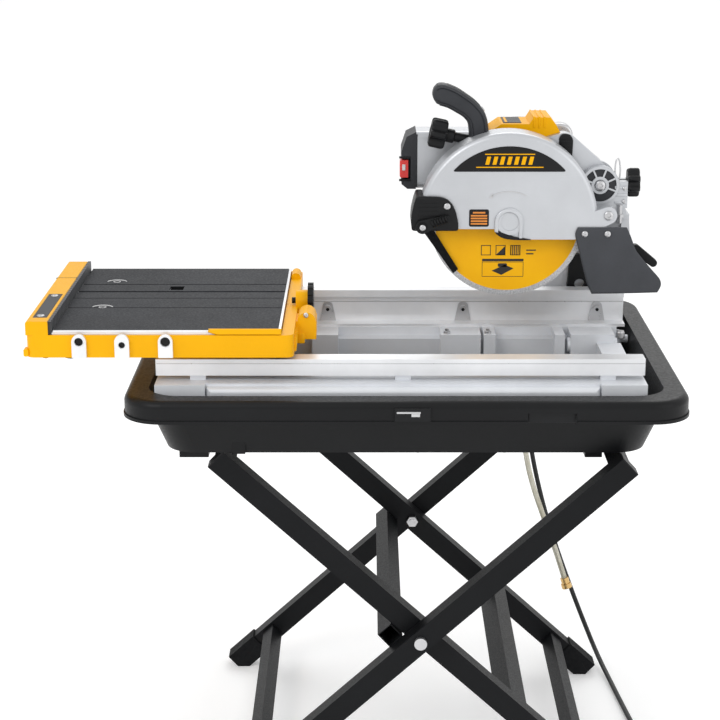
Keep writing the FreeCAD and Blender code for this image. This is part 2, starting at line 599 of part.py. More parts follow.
def saw_head():
    """Everything that plunges with the blade: guard, gear case, motor, handle and fittings."""
    cover = guard_slice(GUARD_R, 0, GUARD_FRONT, GUARD_SPLIT)
    cover = rounded(cover, 9, lambda c: abs(c.y - GUARD_FRONT) < 0.1 and c.z > BLADE_Z + 30)
    cover = cover.cut(guard_slice(GUARD_R - GUARD_WALL, -30, GUARD_FRONT + GUARD_WALL, GUARD_SPLIT + 1))
    hub_ring = rod(BLADE_X + 2, GUARD_FRONT - 3, BLADE_Z + 2, ALONG_Y, 22, 5)
    hub_ring = hub_ring.cut(rod(BLADE_X + 2, GUARD_FRONT - 4, BLADE_Z + 2, ALONG_Y, 15, 3))
    tail = link(345, 925, 17, TAIL_X, TAIL_Z, 14, GUARD_FRONT, GUARD_FRONT + 12)
    PARTS["head_screws"] = [hexagon(TAIL_X, GUARD_FRONT - 5, TAIL_Z, 7, 5)]
    PARTS["guard_cover"] = fused([cover, hub_ring, tail])

    back = guard_slice(GUARD_R, 0, GUARD_SPLIT, GUARD_BACK)
    back = back.cut(guard_slice(GUARD_R - GUARD_WALL, -30, GUARD_SPLIT - 1, GUARD_BACK - GUARD_WALL))
    case = link(BLADE_X, BLADE_Z, CASE_R, MOTOR_X, MOTOR_Z, CASE_TOP_R, GUARD_BACK - 1, MOTOR_FRONT)
    flange = rod(MOTOR_X, MOTOR_FRONT - 6, MOTOR_Z, ALONG_Y, MOTOR_R, 6)
    inner_r = CASE_R - CASE_WALL
    inner_top_r = CASE_TOP_R - CASE_WALL
    hollow = link(BLADE_X, BLADE_Z, inner_r, MOTOR_X, MOTOR_Z, inner_top_r, GUARD_BACK + 3, MOTOR_FRONT - 6)
    bend = (369, 1005, 24)
    spine = [
        link(MOTOR_X + 16, MOTOR_Z + 6, 36, *SHOULDER, 356, MOTOR_FRONT),
        link(*SHOULDER, *bend, 356, MOTOR_FRONT),
    ]
    elbow = link(*bend, PLUNGE_X, PLUNGE_Z, 26, 356, 394)
    boss_hole = rod(PLUNGE_X, 350, PLUNGE_Z, ALONG_Y, PIN_R + RUNNING_GAP, 60)
    rotor_hole = rod(MOTOR_X, GUARD_BACK + 3, MOTOR_Z, ALONG_Y, BEARING_R, MOTOR_FRONT - GUARD_BACK)
    shape = fused([back, case, flange, elbow] + spine).cut(hollow)
    spindle_hole = rod(BLADE_X, GUARD_SPLIT, BLADE_Z, ALONG_Y, BEARING_R, MOTOR_FRONT - GUARD_SPLIT + 1)
    PARTS["head_casting"] = shape.cut(boss_hole).cut(spindle_hole).cut(rotor_hole)

    PARTS["shaft_bearings"] = []
    for x, z, y0, y1, bore in (
        (BLADE_X, BLADE_Z, GUARD_BACK - 5, GUARD_BACK + 3, ARBOR_R),
        (BLADE_X, BLADE_Z, MOTOR_FRONT - 6, MOTOR_FRONT, ARBOR_R),
        (MOTOR_X, MOTOR_Z, MOTOR_FRONT - 6, MOTOR_FRONT, SHAFT_R),
        (MOTOR_X, MOTOR_Z, MOTOR_BACK - 12, MOTOR_BACK - 4, SHAFT_R),
    ):
        ring = rod(x, y0, z, ALONG_Y, BEARING_R, y1 - y0)
        hole = rod(x, y0 - 1, z, ALONG_Y, bore + RUNNING_GAP, y1 - y0 + 2)
        PARTS["shaft_bearings"].append(ring.cut(hole))

    can = rod(MOTOR_X, MOTOR_FRONT, MOTOR_Z, ALONG_Y, MOTOR_R, MOTOR_BACK - MOTOR_FRONT)
    can = rounded(can, 10, lambda c: abs(c.y - MOTOR_BACK) < 0.1)
    can = can.cut(rod(MOTOR_X, MOTOR_FRONT - 1, MOTOR_Z, ALONG_Y, MOTOR_R - 4, MOTOR_BACK - MOTOR_FRONT - 11))
    seat = rod(MOTOR_X, MOTOR_BACK - 13, MOTOR_Z, ALONG_Y, BEARING_R, 9)
    PARTS["motor_housing"] = can.cut(seat)
    stator = rod(MOTOR_X, MOTOR_FRONT + 30, MOTOR_Z, ALONG_Y, MOTOR_R - 4, 60)
    PARTS["stator"] = stator.cut(rod(MOTOR_X, MOTOR_FRONT + 29, MOTOR_Z, ALONG_Y, 31, 62))

    # The cover wraps the front of the motor and its flange, with a low shoulder and a hump to the right.
    y0 = MOTOR_FRONT - 14
    y1 = MOTOR_FRONT + 70
    top = MOTOR_Z + MOTOR_R + 7
    outline = [
        (MOTOR_X - 65, MOTOR_Z + 14), (MOTOR_X - 65, top - 29), (MOTOR_X - 56, top - 11), (MOTOR_X - 40, top),
        (MOTOR_X + 6, top), (MOTOR_X + 13, top + 11), (MOTOR_X + 40, top + 11), (MOTOR_X + 50, top - 1),
        (MOTOR_X + 65, top - 29), (MOTOR_X + 65, MOTOR_Z + 14),
    ]
    shape = prism_y(outline, y0, y1).cut(rod(MOTOR_X, MOTOR_FRONT - 6, MOTOR_Z, ALONG_Y, MOTOR_R, 160))
    shoulder_x, shoulder_z, shoulder_r = SHOULDER
    keep_off = link(
        MOTOR_X + 16, MOTOR_Z + 6, 36 + BODY_GAP, shoulder_x, shoulder_z, shoulder_r + BODY_GAP, 350,
        MOTOR_FRONT + BODY_GAP
    )
    PARTS["motor_cover"] = shape.cut(keep_off).cut(PARTS["head_casting"]).Solids[0]

    left = SWITCH_LEFT
    y0 = SWITCH_FRONT
    y1 = SWITCH_BACK
    case = rounded(box(left, 196, y0, y1, SWITCH_LOW, SWITCH_HIGH), 12, lambda c: abs(c.x - 140) < 5)
    reach = case.cut(rod(MOTOR_X, MOTOR_FRONT - 40, MOTOR_Z, ALONG_Y, MOTOR_R + 8, 160))
    neck = box(186, MOTOR_X, y0 + 8, y1 - 14, 992, 1024)
    neck = neck.cut(rod(MOTOR_X, MOTOR_FRONT - 40, MOTOR_Z, ALONG_Y, MOTOR_R + 0.02, 160))
    inside = box(left - 1, 180, y0 + 4, y1 - 4, SWITCH_LOW + 4, SWITCH_HIGH - 4)
    PARTS["switch_box"] = fused([reach, neck]).cut(inside).cut(PARTS["motor_cover"]).Solids[0]
    cap_outline = [
        (left, SWITCH_HIGH), (left - 16, SWITCH_HIGH - 8), (left - 24, SWITCH_HIGH - 32),
        (left - 24, SWITCH_LOW + 8), (left - 14, SWITCH_LOW), (left, SWITCH_LOW),
    ]
    window = box(left - 30, left - 9, y0 - 1, y0 + 20, 987, 1021)
    PARTS["switch_box_cap"] = prism_y(cap_outline, y0, y1).cut(window)
    switch = box(left - 27, left - 13, y0 + 0.5, y0 + 19.5, 989.5, 1018.5)
    PARTS["power_switch"] = rounded(switch, 3, lambda c: c.x < left - 26)
    fittings()


def fittings():
    """The handle, knobs, nozzle, wiper strips and flap on the head."""
    upper = [
        (106, 1134), (110, 1144), (122, 1148), (150, 1136), (180, 1115), (194, 1094), (198, 1064),
        (198, 1040),
    ]
    lower = [(168, 1040), (166, 1072), (159, 1096), (121, 1114), (108, 1122)]
    grip = prism_y(upper + lower, HANDLE_Y - 21, HANDLE_Y + 21)
    grip = rounded(grip, 6, lambda c: abs(c.y - HANDLE_Y) > 20 and c.z > 1050)
    finger = prism_y([(130, 1124), (140, 1134), (172, 1114), (164, 1104)], HANDLE_Y - 6, HANDLE_Y + 8)
    clear_guard = rod(BLADE_X, BLADE_Y, BLADE_Z, ALONG_Y, GUARD_R, GUARD_BACK - BLADE_Y)
    clear_case = link(BLADE_X, BLADE_Z, CASE_R, MOTOR_X, MOTOR_Z, CASE_TOP_R, BLADE_Y, MOTOR_FRONT)
    clear = clear_guard.fuse(clear_case)
    tilt = math.radians(12)
    along = Vec(-math.cos(tilt), 0, math.sin(tilt))
    root = Vec(180, 350, 1055.6)
    shaft = Part.makeCylinder(8, 54.3, root, along)
    shaft_bore = Part.makeCylinder(8 + RUNNING_GAP, 75, root - along * BODY_GAP, along)
    PARTS["handle"] = grip.cut(finger).cut(clear).cut(shaft_bore)
    tip = root + along * 50.3
    crown = [Part.makeCylinder(21, 28, tip, along)]
    side = Vec(math.sin(tilt), 0, math.cos(tilt))
    for k in range(6):
        a = math.radians(60 * k)
        centre = tip + side * (19 * math.cos(a)) + ALONG_Y * (19 * math.sin(a))
        crown.append(Part.makeCylinder(6.5, 28, centre, along))
    PARTS["head_knob"] = fused(crown + [shaft])

    outline = [(77, 978), (120, 978), (137, 966), (150, 944), (151, 921), (78, 921), (76, 945)]
    housing = prism_y(outline, GUARD_FRONT - 8, GUARD_FRONT - BODY_GAP)
    wrap = prism_y([(72, 978), (83, 978), (79, 921), (70, 921)], GUARD_FRONT - 8, GUARD_BACK)
    wrap = wrap.cut(rod(BLADE_X, GUARD_FRONT, BLADE_Z, ALONG_Y, GUARD_R + 0.2, 80))
    PARTS["nozzle_housing"] = fused([housing, wrap])

    lever = link(91, 929, 11, 130, 943, 5, GUARD_FRONT - 16, GUARD_FRONT - 8 - BODY_GAP)
    cap = rod(91, GUARD_FRONT - 20, 929, ALONG_Y, 7, 5)
    PARTS["nozzle_lever"] = fused([lever, cap])
    deep = GUARD_BACK - GUARD_FRONT
    rim = rod(BLADE_X, GUARD_FRONT, BLADE_Z, ALONG_Y, GUARD_R + 9, deep)
    rim = rim.cut(rod(BLADE_X, GUARD_FRONT, BLADE_Z, ALONG_Y, GUARD_R - GUARD_WALL, deep))
    strips = []
    for y0, dx in ((BLADE_Y - 9, 0), (BLADE_Y + 5, 6)):
        strip = prism_y([(84, 938), (97 + dx, 938), (151, 852), (143, 845), (84 + dx, 928)], y0, y0 + 4)
        strips.append(strip.cut(rim.common(box(0, 200, 200, 400, 922, 1000))))
    PARTS["wiper_strips"] = strips

    upper = [(343, FLAP_Z), (347, 925), (424, 926), (438, 886), (467, 852), (483, 836)]
    lower = [(484, 826), (477, 816), (373, 816), (360, 862)]
    flap = prism_y(upper + lower, GUARD_FRONT - 4, GUARD_FRONT - 1)
    screws = [rod(x, GUARD_FRONT - 6.5, FLAP_Z, ALONG_Y, 5, 2.5) for x in (354, 391)]
    PARTS["splash_flap"] = fused([flap, box(345, 396, GUARD_FRONT - 1, GUARD_FRONT, 912, 926)])
    PARTS["head_screws"] += screws


def rotating_parts():
    """The blade with its spindle, flanges and gear, and the motor's rotor with the pinion."""
    blade = rod(BLADE_X, BLADE_Y - BLADE_THICK / 2, BLADE_Z, ALONG_Y, BLADE_R, BLADE_THICK)
    PARTS["saw_blade"] = blade.cut(rod(BLADE_X, BLADE_Y - 3, BLADE_Z, ALONG_Y, ARBOR_R, 6))
    half = BLADE_THICK / 2
    flanges = []
    thick = 5.0
    for y0 in (BLADE_Y - half - thick, BLADE_Y + half):
        ring = rod(BLADE_X, y0, BLADE_Z, ALONG_Y, 27, thick)
        flanges.append(ring.cut(rod(BLADE_X, y0 - 1, BLADE_Z, ALONG_Y, ARBOR_R, thick + 2)))
    nut = hexagon(BLADE_X, BLADE_Y - half - 14, BLADE_Z, 13, 9)
    flanges.append(nut.cut(rod(BLADE_X, BLADE_Y - 20, BLADE_Z, ALONG_Y, ARBOR_R, 20)))
    PARTS["blade_flanges"] = flanges

    distance = math.hypot(MOTOR_X - BLADE_X, MOTOR_Z - BLADE_Z)
    pinion_r = distance * PINION_TEETH / (PINION_TEETH + GEAR_TEETH)
    towards = math.atan2(MOTOR_Z - BLADE_Z, MOTOR_X - BLADE_X)
    gear_y0 = GUARD_BACK + 8
    gear_y1 = gear_y0 + 18
    wheel = gear(BLADE_X, BLADE_Z, GEAR_TEETH, distance - pinion_r, gear_y0, gear_y1, towards)
    spindle = rod(BLADE_X, BLADE_Y - 17, BLADE_Z, ALONG_Y, ARBOR_R, MOTOR_FRONT - BLADE_Y + 15)
    collar = rod(BLADE_X, BLADE_Y + half + 5, BLADE_Z, ALONG_Y, 12, GUARD_BACK - BLADE_Y - half - 11)
    PARTS["arbor_spindle"] = fused([spindle, wheel, collar])

    back = towards + math.pi + math.pi / PINION_TEETH
    pinion = gear(MOTOR_X, MOTOR_Z, PINION_TEETH, pinion_r, gear_y0 - 1, gear_y1 + 1, back)
    shaft = rod(MOTOR_X, GUARD_BACK + 4, MOTOR_Z, ALONG_Y, SHAFT_R, MOTOR_BACK - GUARD_BACK - 9)
    core = rod(MOTOR_X, MOTOR_FRONT + 32, MOTOR_Z, ALONG_Y, 30, 56)
    commutator = rod(MOTOR_X, MOTOR_FRONT + 100, MOTOR_Z, ALONG_Y, 17, 18)
    PARTS["motor_rotor"] = fused([pinion, shaft, core, commutator])


def bevel_parts():
    """The bracket that tilts on the arm's boss and carries the plunge pivot."""
    shapes = []
    for x0 in (378, 420 + BODY_GAP):
        x1 = x0 + 14 - BODY_GAP
        shapes.append(rod(x0, BEVEL_Y, BEVEL_Z, ALONG_X, BEVEL_BOSS_R, x1 - x0))
        ear = [
            (BEVEL_Y - 10, BEVEL_Z + 14), (350, 936), (BRACKET_BACK, 936), (BRACKET_BACK, 908),
            (BEVEL_Y + 17, BEVEL_Z + 4),
        ]
        shapes.append(prism_x(ear, x0, x1))
    shapes.append(box(378, 434, BRACKET_FRONT, BRACKET_BACK, 906, 936))
    for y0, y1 in ((BRACKET_FRONT, 355.5), (394.5, BRACKET_BACK)):
        shapes.append(rod(PLUNGE_X, y0, PLUNGE_Z, ALONG_Y, 32, y1 - y0))
        shapes.append(prism_y([(378, 920), (434, 920), (414, 994), (360, 964)], y0, y1))
    shapes.append(box(408, CLAMP_KNOB_X - 1, 344, 382, 946, 990))
    bracket = fused(shapes)
    bevel_hole = rod(370, BEVEL_Y, BEVEL_Z, ALONG_X, PIN_R, 80)
    plunge_hole = rod(PLUNGE_X, 340, PLUNGE_Z, ALONG_Y, PIN_R, 80)
    stem_x = CLAMP_KNOB_X - 12
    knob_hole = rod(stem_x - 1, CLAMP_KNOB_Y, CLAMP_KNOB_Z, ALONG_X, CLAMP_STEM_R + RUNNING_GAP, 20)
    arm_gap = rod(PLUNGE_X, 355.5, PLUNGE_Z, ALONG_Y, 30, 39)
    reach = link(365, 1012, 28, PLUNGE_X, PLUNGE_Z, 30, 355.5, 394.5)
    bracket = bracket.cut(bevel_hole).cut(plunge_hole).cut(arm_gap).cut(reach).cut(knob_hole)
    PARTS["bevel_bracket"] = bracket
    PARTS["pivot_pins"] = [
        rod(372, BEVEL_Y, BEVEL_Z, ALONG_X, PIN_R, 64),
        rod(PLUNGE_X, 340, PLUNGE_Z, ALONG_Y, PIN_R, 70),
    ]
    knob = rod(CLAMP_KNOB_X, CLAMP_KNOB_Y, CLAMP_KNOB_Z, ALONG_X, 20, 20)
    stem = rod(stem_x, CLAMP_KNOB_Y, CLAMP_KNOB_Z, ALONG_X, CLAMP_STEM_R, 13)
    lobes = []
    for k in range(7):
        a = 2 * math.pi * k / 7
        y = CLAMP_KNOB_Y + 19 * math.cos(a)
        z = CLAMP_KNOB_Z + 19 * math.sin(a)
        lobes.append(rod(CLAMP_KNOB_X, y, z, ALONG_X, 5.5, 20))
    PARTS["plunge_lock_knob"] = fused([knob, stem] + lobes)
    # The lever's lug is rounded about the lever's own axis, so that it stays off the bracket as it turns.
    lever = link(LEVER_X, LEVER_Z, 8, LEVER_X + 30, LEVER_Z - 23, 6.5, BEVEL_Y + 18, BEVEL_Y + 30)
    post = rod(LEVER_X, BEVEL_Y + 14, LEVER_Z, ALONG_Y, 4, 20)
    lug = box(434.3, LEVER_X - 4, BEVEL_Y + 15, BEVEL_Y + 33, LEVER_Z - 5, LEVER_Z + 7)
    lug = lug.common(rod(LEVER_X, BEVEL_Y + 15, LEVER_Z, ALONG_Y, 10.6, 18))
    PARTS["bevel_lever"] = fused([lever, post, lug])


def rounded_route(points):
    """Straight runs joined by tangent arcs, as one wire, with the arc radii."""
    edges = []
    radii = []
    previous = Vec(*points[0])
    for before, corner, after in zip(points, points[1:], points[2:]):
        a, b, c = Vec(*before), Vec(*corner), Vec(*after)
        back = (a - b).normalize()
        ahead = (c - b).normalize()
        turn = math.pi - back.getAngle(ahead)
        trim = 0.45 * min((a - b).Length, (c - b).Length)
        radii.append(trim / math.tan(turn / 2))
        start = b + back * trim
        end = b + ahead * trim
        middle_line = (back + ahead).normalize()
        depth = trim / math.cos((math.pi - turn) / 2) - radii[-1]
        middle = b + middle_line * depth
        edges.append(Part.makeLine(previous, start))
        edges.append(Part.Arc(start, middle, end).toShape())
        previous = end
    edges.append(Part.makeLine(previous, Vec(*points[-1])))
    return Part.Wire(edges), radii


def cord(points, radius, name):
    """A round cord swept along a rounded route."""
    wire, radii = rounded_route(points)
    start = Vec(*points[0])
    direction = (Vec(*points[1]) - start).normalize()
    section = Part.Wire([Part.Edge(Part.Circle(start, direction, radius))])
    tube = wire.makePipeShell([section], True, False)
    ideal = math.pi * radius ** 2 * wire.Length
    print(name, "length", round(wire.Length), "least radius", round(min(radii), 1), "volume ratio",
          round(tube.Volume / ideal, 4))
    return tube


def cords():
    """The power cord with its coil and plug, and the clear water tube with its brass fitting."""
    floor = CORD_R + 0.5
    power = [
        (CORD_EXIT_X, EXIT_Y, EXIT_Z), (CORD_EXIT_X, 626, EXIT_Z), (337, 666, 749), (331, 704, 728),
        (325, 724, 692), (320, 728, 645), (316, 723, 590), (312, 717, 535), (311, 715, 480),
        (315, 712, 420), (330, 710, 345),
        (352, 707, 262), (380, 702, 180), (406, 690, 110), (430, 662, 52), (448, 604, 16), (462, 510, floor),
        (470, 425, floor), (478, 345, floor), (488, 285, floor), (490, 240, floor),
    ]
    PARTS["power_cord"] = cord(power, CORD_R, "power_cord")
    ring = Part.makeTorus(COIL_R, COIL_THICK_R, Vec(COIL_X, COIL_Y, COIL_Z), UP)
    plug_x = COIL_X + COIL_R
    plug_y = COIL_Y - COIL_R
    tail = rod(COIL_X, plug_y, COIL_Z, ALONG_X, CORD_R, COIL_R)
    PARTS["cord_coil"] = fused([ring, tail])
    plug = rod(plug_x, plug_y, PLUG_Z, ALONG_X, 12, 40)
    pins = [rod(plug_x + 39, plug_y + dy, PLUG_Z, ALONG_X, 2, 18) for dy in (-6, 6)]
    PARTS["power_plug"] = fused([plug] + pins)
    tube = [
        (TUBE_EXIT_X, EXIT_Y, EXIT_Z), (TUBE_EXIT_X, 622, EXIT_Z), (315, 656, 748), (311, 688, 734),
        (309, 707, 706), (307, 712, 668), (305, 708, 620), (303, 701, 560), (300, 697, 480),
        (302, 694, 425), (316, 691, 350),
        (346, 687, 265), (372, 682, 195), (386, 678, 150),
    ]
    PARTS["water_tube"] = cord(tube, TUBE_R, "water_tube")
    end = Vec(*tube[-1])
    heading = (end - Vec(*tube[-2])).normalize()
    sleeve = Part.makeCylinder(8, 12, end, heading)
    collar = Part.makeCylinder(10, 9, end + heading * 12, heading)
    PARTS["hose_fitting"] = fused([sleeve, collar])


def write_parts():
    """Move every piece to the shared origin and write it."""
    os.makedirs("parts", exist_ok=True)
    offset = Vec(-(CART_LEFT + PAN_RIGHT + 1.5) / 2, -(PAN_DEEP + 1.5 - 5.0) / 2, 0)
    print("offset", offset)
    for name, shape in PARTS.items():
        solids = shape if isinstance(shape, list) else [shape]
        group = solids[0] if len(solids) == 1 else Part.makeCompound(solids)
        group.translate(offset)
        group.exportStep("parts/" + name + ".step")
        if not group.isValid() or len(group.Solids) != len(solids):
            print("CHECK", name, group.isValid(), len(group.Solids), len(solids))
    print(len(PARTS), "pieces")


stand()
base_casting(water_pan())
column_and_arm()
cart()
saw_head()
rotating_parts()
bevel_parts()
cords()
write_parts()
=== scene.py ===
"""Looks of the wet tile saw: finishes for its frame, and the pieces that need softer or finer shapes."""
import math

import bmesh
import bpy
import numpy as np
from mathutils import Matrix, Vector


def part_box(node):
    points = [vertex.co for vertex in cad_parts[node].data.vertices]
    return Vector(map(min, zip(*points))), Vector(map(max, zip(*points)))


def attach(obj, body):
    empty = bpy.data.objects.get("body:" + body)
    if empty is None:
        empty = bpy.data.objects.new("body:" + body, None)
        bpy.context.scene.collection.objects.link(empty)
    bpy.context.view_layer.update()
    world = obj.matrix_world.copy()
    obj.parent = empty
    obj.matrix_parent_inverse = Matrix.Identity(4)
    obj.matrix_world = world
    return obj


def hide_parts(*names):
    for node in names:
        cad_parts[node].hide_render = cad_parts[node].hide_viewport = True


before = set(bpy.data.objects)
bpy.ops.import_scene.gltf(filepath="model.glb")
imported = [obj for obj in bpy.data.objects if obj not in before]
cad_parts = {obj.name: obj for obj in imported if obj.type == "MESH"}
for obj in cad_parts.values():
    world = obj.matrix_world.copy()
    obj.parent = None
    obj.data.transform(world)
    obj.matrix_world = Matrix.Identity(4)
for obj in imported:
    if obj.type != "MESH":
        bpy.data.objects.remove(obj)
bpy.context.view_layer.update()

bl_info = {
    "name": "Tile saw looks",
    "version": (1, 0, 0),
    "blender": (4, 5, 0),
    "location": "View3D > Sidebar > Tile saw",
    "description": "Finishes and fine pieces for a wet tile saw on a folding stand",
    "category": "Object",
}

# The drawing's own corner lies off the floor point under the middle of the saw by this much, in metres.
SHIFT = np.array([0.01025, -0.32825, 0.0])

# Directions: towards whoever works at the saw, away from them, to their right, and up.
FORWARD = (0, -1, 0)
BACK = (0, 1, 0)
RIGHT = (1, 0, 0)
UP = (0, 0, 1)


def placed(x, y, z):
    """A point of the drawing as a point of the shared frame."""
    return np.array([x, y, z]) + SHIFT


def centre(node):
    """The middle of a frame node's box."""
    low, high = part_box(node)
    return np.array((low + high) / 2)


def corner(node, side):
    """The lowest (0) or highest (1) corner of a frame node's box."""
    return np.array(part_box(node)[side])


BLADE = centre("saw_blade")
BLADE_R = float(corner("saw_blade", 1)[0] - BLADE[0])
# The guard's front face lies this far in front of the blade's middle.
GUARD_FRONT = float(BLADE[1] - 0.028)
MOTOR = centre("motor_housing")
DECK_LOW = corner("deck_mats", 0)
DECK_HIGH = corner("deck_mats", 1)

# ---------------------------------------------------------------------------------------- sizes

# A curve's own box is grown by its points' radius, so the points are kept small and the bevel
# makes up for it.
POINT_RADIUS = 0.01
# The coil's line: how many points it has, and how many of them go once round.
COIL_POINTS = 27
POINTS_PER_TURN = 12
# Where the camera stands: in front of the drawing's corner, and above the floor.
CAMERA_BACK = 2.56
CAMERA_HEIGHT = 1.513
DUST = (0.52, 0.5, 0.47)
WHITE = (1.0, 1.0, 1.0, 1.0)


class SawSizes(bpy.types.PropertyGroup):
    """Sizes and angles that a user would change."""

    blade_label_radius: bpy.props.FloatProperty(
        name="Blade label radius", description="Radius of the painted disc on the blade",
        default=BLADE_R - 0.0085, unit="LENGTH")
    cord_radius: bpy.props.FloatProperty(
        name="Power cord radius", description="Half the power cord's width", default=0.0045, unit="LENGTH")
    tube_radius: bpy.props.FloatProperty(
        name="Water tube radius", description="Half the water tube's width", default=0.00525, unit="LENGTH")
    lens: bpy.props.FloatProperty(
        name="Lens", description="Camera focal length in millimetres", default=89.5)
    pitch: bpy.props.FloatProperty(
        name="Camera pitch", description="How far the camera looks down", default=math.radians(15.9),
        subtype="ANGLE")


class SawColours(bpy.types.PropertyGroup):
    """Colours of the main finishes."""

    yellow: bpy.props.FloatVectorProperty(
        name="Yellow", description="Paint of the cart and motor cover", subtype="COLOR",
        default=(0.88, 0.43, 0.001))
    dark_grey: bpy.props.FloatVectorProperty(
        name="Dark grey", description="Handle, flap and mats", subtype="COLOR", default=(0.034, 0.036, 0.041))
    black: bpy.props.FloatVectorProperty(
        name="Black", description="Pan, stand and knobs", subtype="COLOR", default=(0.006, 0.0065, 0.0075))
    silver: bpy.props.FloatVectorProperty(
        name="Silver", description="Cast and painted aluminium", subtype="COLOR", default=(0.56, 0.575, 0.6))


# ------------------------------------------------------------------------------------ mesh helpers


def add_mesh(name, points, faces, smooth=True, sharp=35.0):
    """A mesh object from a point array and a list of faces, shaded smooth up to a sharp angle."""
    mesh = bpy.data.meshes.new(name)
    mesh.from_pydata(np.asarray(points, float).tolist(), [], faces)
    mesh.validate()
    if smooth:
        mesh.shade_smooth()
        mesh.set_sharp_from_angle(angle=math.radians(sharp))
    piece = bpy.data.objects.new(name, mesh)
    bpy.context.scene.collection.objects.link(piece)
    return piece


def grid_faces(rows, columns, wrap_rows=False, wrap_columns=False):
    """Quads that join a grid of points numbered row by row; a wrapped side meets its start."""
    row = np.arange(rows if wrap_rows else rows - 1)
    column = np.arange(columns if wrap_columns else columns - 1)
    i, j = np.meshgrid(row, column, indexing="ij")
    after_i = (i + 1) % rows
    after_j = (j + 1) % columns
    quads = np.stack([i * columns + j, after_i * columns + j, after_i * columns + after_j,
                      i * columns + after_j], -1)
    return quads.reshape(-1, 4).tolist()


def tube_faces(count, steps):
    """The faces of a tube made of rings of points, closed at both ends."""
    last = (count - 1) * steps
    ends = [list(range(steps)), list(range(last, last + steps))]
    return grid_faces(count, steps, wrap_columns=True) + ends


def outward(piece):
    """Point the faces of a closed piece outwards."""
    work = bmesh.new()
    work.from_mesh(piece.data)
    bmesh.ops.remove_doubles(work, verts=work.verts, dist=1e-6)
    bmesh.ops.recalc_face_normals(work, faces=work.faces)
    work.to_mesh(piece.data)
    work.free()
    return piece


def soften(piece, width, segments=3, angle=30.0):
    """Round a piece's edges with a bevel."""
    bevel = piece.modifiers.new("edges", "BEVEL")
    bevel.width = width
    bevel.segments = segments
    bevel.limit_method = "ANGLE"
    bevel.angle_limit = math.radians(angle)
    bevel.harden_normals = False
    return piece


def thicken(piece, thickness):
    """Give a sheet its thickness, half of it to each side."""
    wall = piece.modifiers.new("wall", "SOLIDIFY")
    wall.thickness = thickness
    wall.offset = 0
    return piece


def unit(vector):
    """A vector scaled to length one."""
    vector = np.asarray(vector, float)
    return vector / np.linalg.norm(vector)


def cross_axes(axis):
    """Two unit vectors square to an axis and to each other."""
    axis = unit(axis)
    helper = np.array([0.0, 0.0, 1.0]) if abs(axis[2]) < 0.9 else np.array([1.0, 0.0, 0.0])
    first = unit(np.cross(helper, axis))
    return first, np.cross(axis, first)


def circle(axis, steps):
    """The axis at length one, and a circle of unit vectors square to it."""
    axis = unit(axis)
    first, second = cross_axes(axis)
    t = np.linspace(0, 2 * np.pi, steps, endpoint=False)
    return axis, np.cos(t)[:, None] * first + np.sin(t)[:, None] * second


def directions(path):
    """The unit vectors along a path, one at each of its points."""
    tangent = np.gradient(path, axis=0)
    return tangent / np.linalg.norm(tangent, axis=1)[:, None]


def box_outline(x0, x1, z0, z1):
    """An upright rectangle as (x, z) points."""
    return [(x0, z0), (x1, z0), (x1, z1), (x0, z1)]


def turned(name, profile, base, axis, steps=40):
    """A turned piece: the (radius, height) profile goes round the axis, closed at both ends.

    A point is base + height * axis + radius * (cos t * first + sin t * second).
    """
    profile = np.asarray(profile, float)
    axis, ring = circle(axis, steps)
    points = np.asarray(base) + profile[:, None, 1:2] * axis + profile[:, None, 0:1] * ring[None]
    return outward(add_mesh(name, points.reshape(-1, 3), tube_faces(len(profile), steps)))


def hoop(name, inner, outer, height, base, axis, steps=48):
    """A flat ring: its square section goes round the axis and closes on itself."""
    axis, ring = circle(axis, steps)
    edge = min(0.0004, height / 3)
    section = np.array([(inner + edge, 0), (outer - edge, 0), (outer, edge), (outer, height - edge),
                        (outer - edge, height), (inner + edge, height), (inner, height - edge),
                        (inner, edge)])
    points = np.asarray(base) + section[:, None, 1:2] * axis + section[:, None, 0:1] * ring[None]
    return outward(add_mesh(name, points.reshape(-1, 3), grid_faces(len(section), steps, True, True)))


def eased(outline, radius, steps=5):
    """An outline whose corners are rounded: each one becomes a quadratic curve that starts a radius away."""
    outline = np.asarray(outline, float)
    radius = np.broadcast_to(radius, len(outline))
    t = np.linspace(0, 1, steps)[:, None]
    rows = []
    for i, corner_point in enumerate(outline):
        before, after = outline[i - 1], outline[(i + 1) % len(outline)]
        reach_in = min(radius[i], 0.48 * np.linalg.norm(before - corner_point))
        reach_out = min(radius[i], 0.48 * np.linalg.norm(after - corner_point))
        start = corner_point + unit(before - corner_point) * reach_in
        end = corner_point + unit(after - corner_point) * reach_out
        rows.append((1 - t) ** 2 * start + 2 * t * (1 - t) * corner_point + t ** 2 * end)
    return np.vstack(rows)


def lobed(name, base, axis, radius, lobe, lobes, height, steps=112):
    """A hand knob: the outline's radius swings with the cosine of the lobe angle, and its ends draw in.

    Radius at angle t and level h is (radius + lobe * cos(lobes * t)) * (1 - inset(h)).
    """
    axis, ring = circle(axis, steps)
    t = np.linspace(0, 2 * np.pi, steps, endpoint=False)
    level = np.array([0, 0.02, 0.08, 0.2, 0.5, 0.8, 0.92, 0.98, 1.0, 1.0, 0.93, 0.93])
    inset = np.array([0.2, 0.09, 0.03, 0, 0, 0, 0.03, 0.09, 0.18, 0.42, 0.5, 0.94])
    swing = np.tanh(1.8 * np.cos(lobes * t)) / np.tanh(1.8)
    shape = radius + lobe * swing[None] * (1 - np.clip(inset * 1.6, 0, 1))[:, None]
    reach = shape * (1 - inset)[:, None]
    points = np.asarray(base) + (level * height)[:, None, None] * axis + reach[:, :, None] * ring[None]
    return outward(add_mesh(name, points.reshape(-1, 3), tube_faces(len(level), steps)))


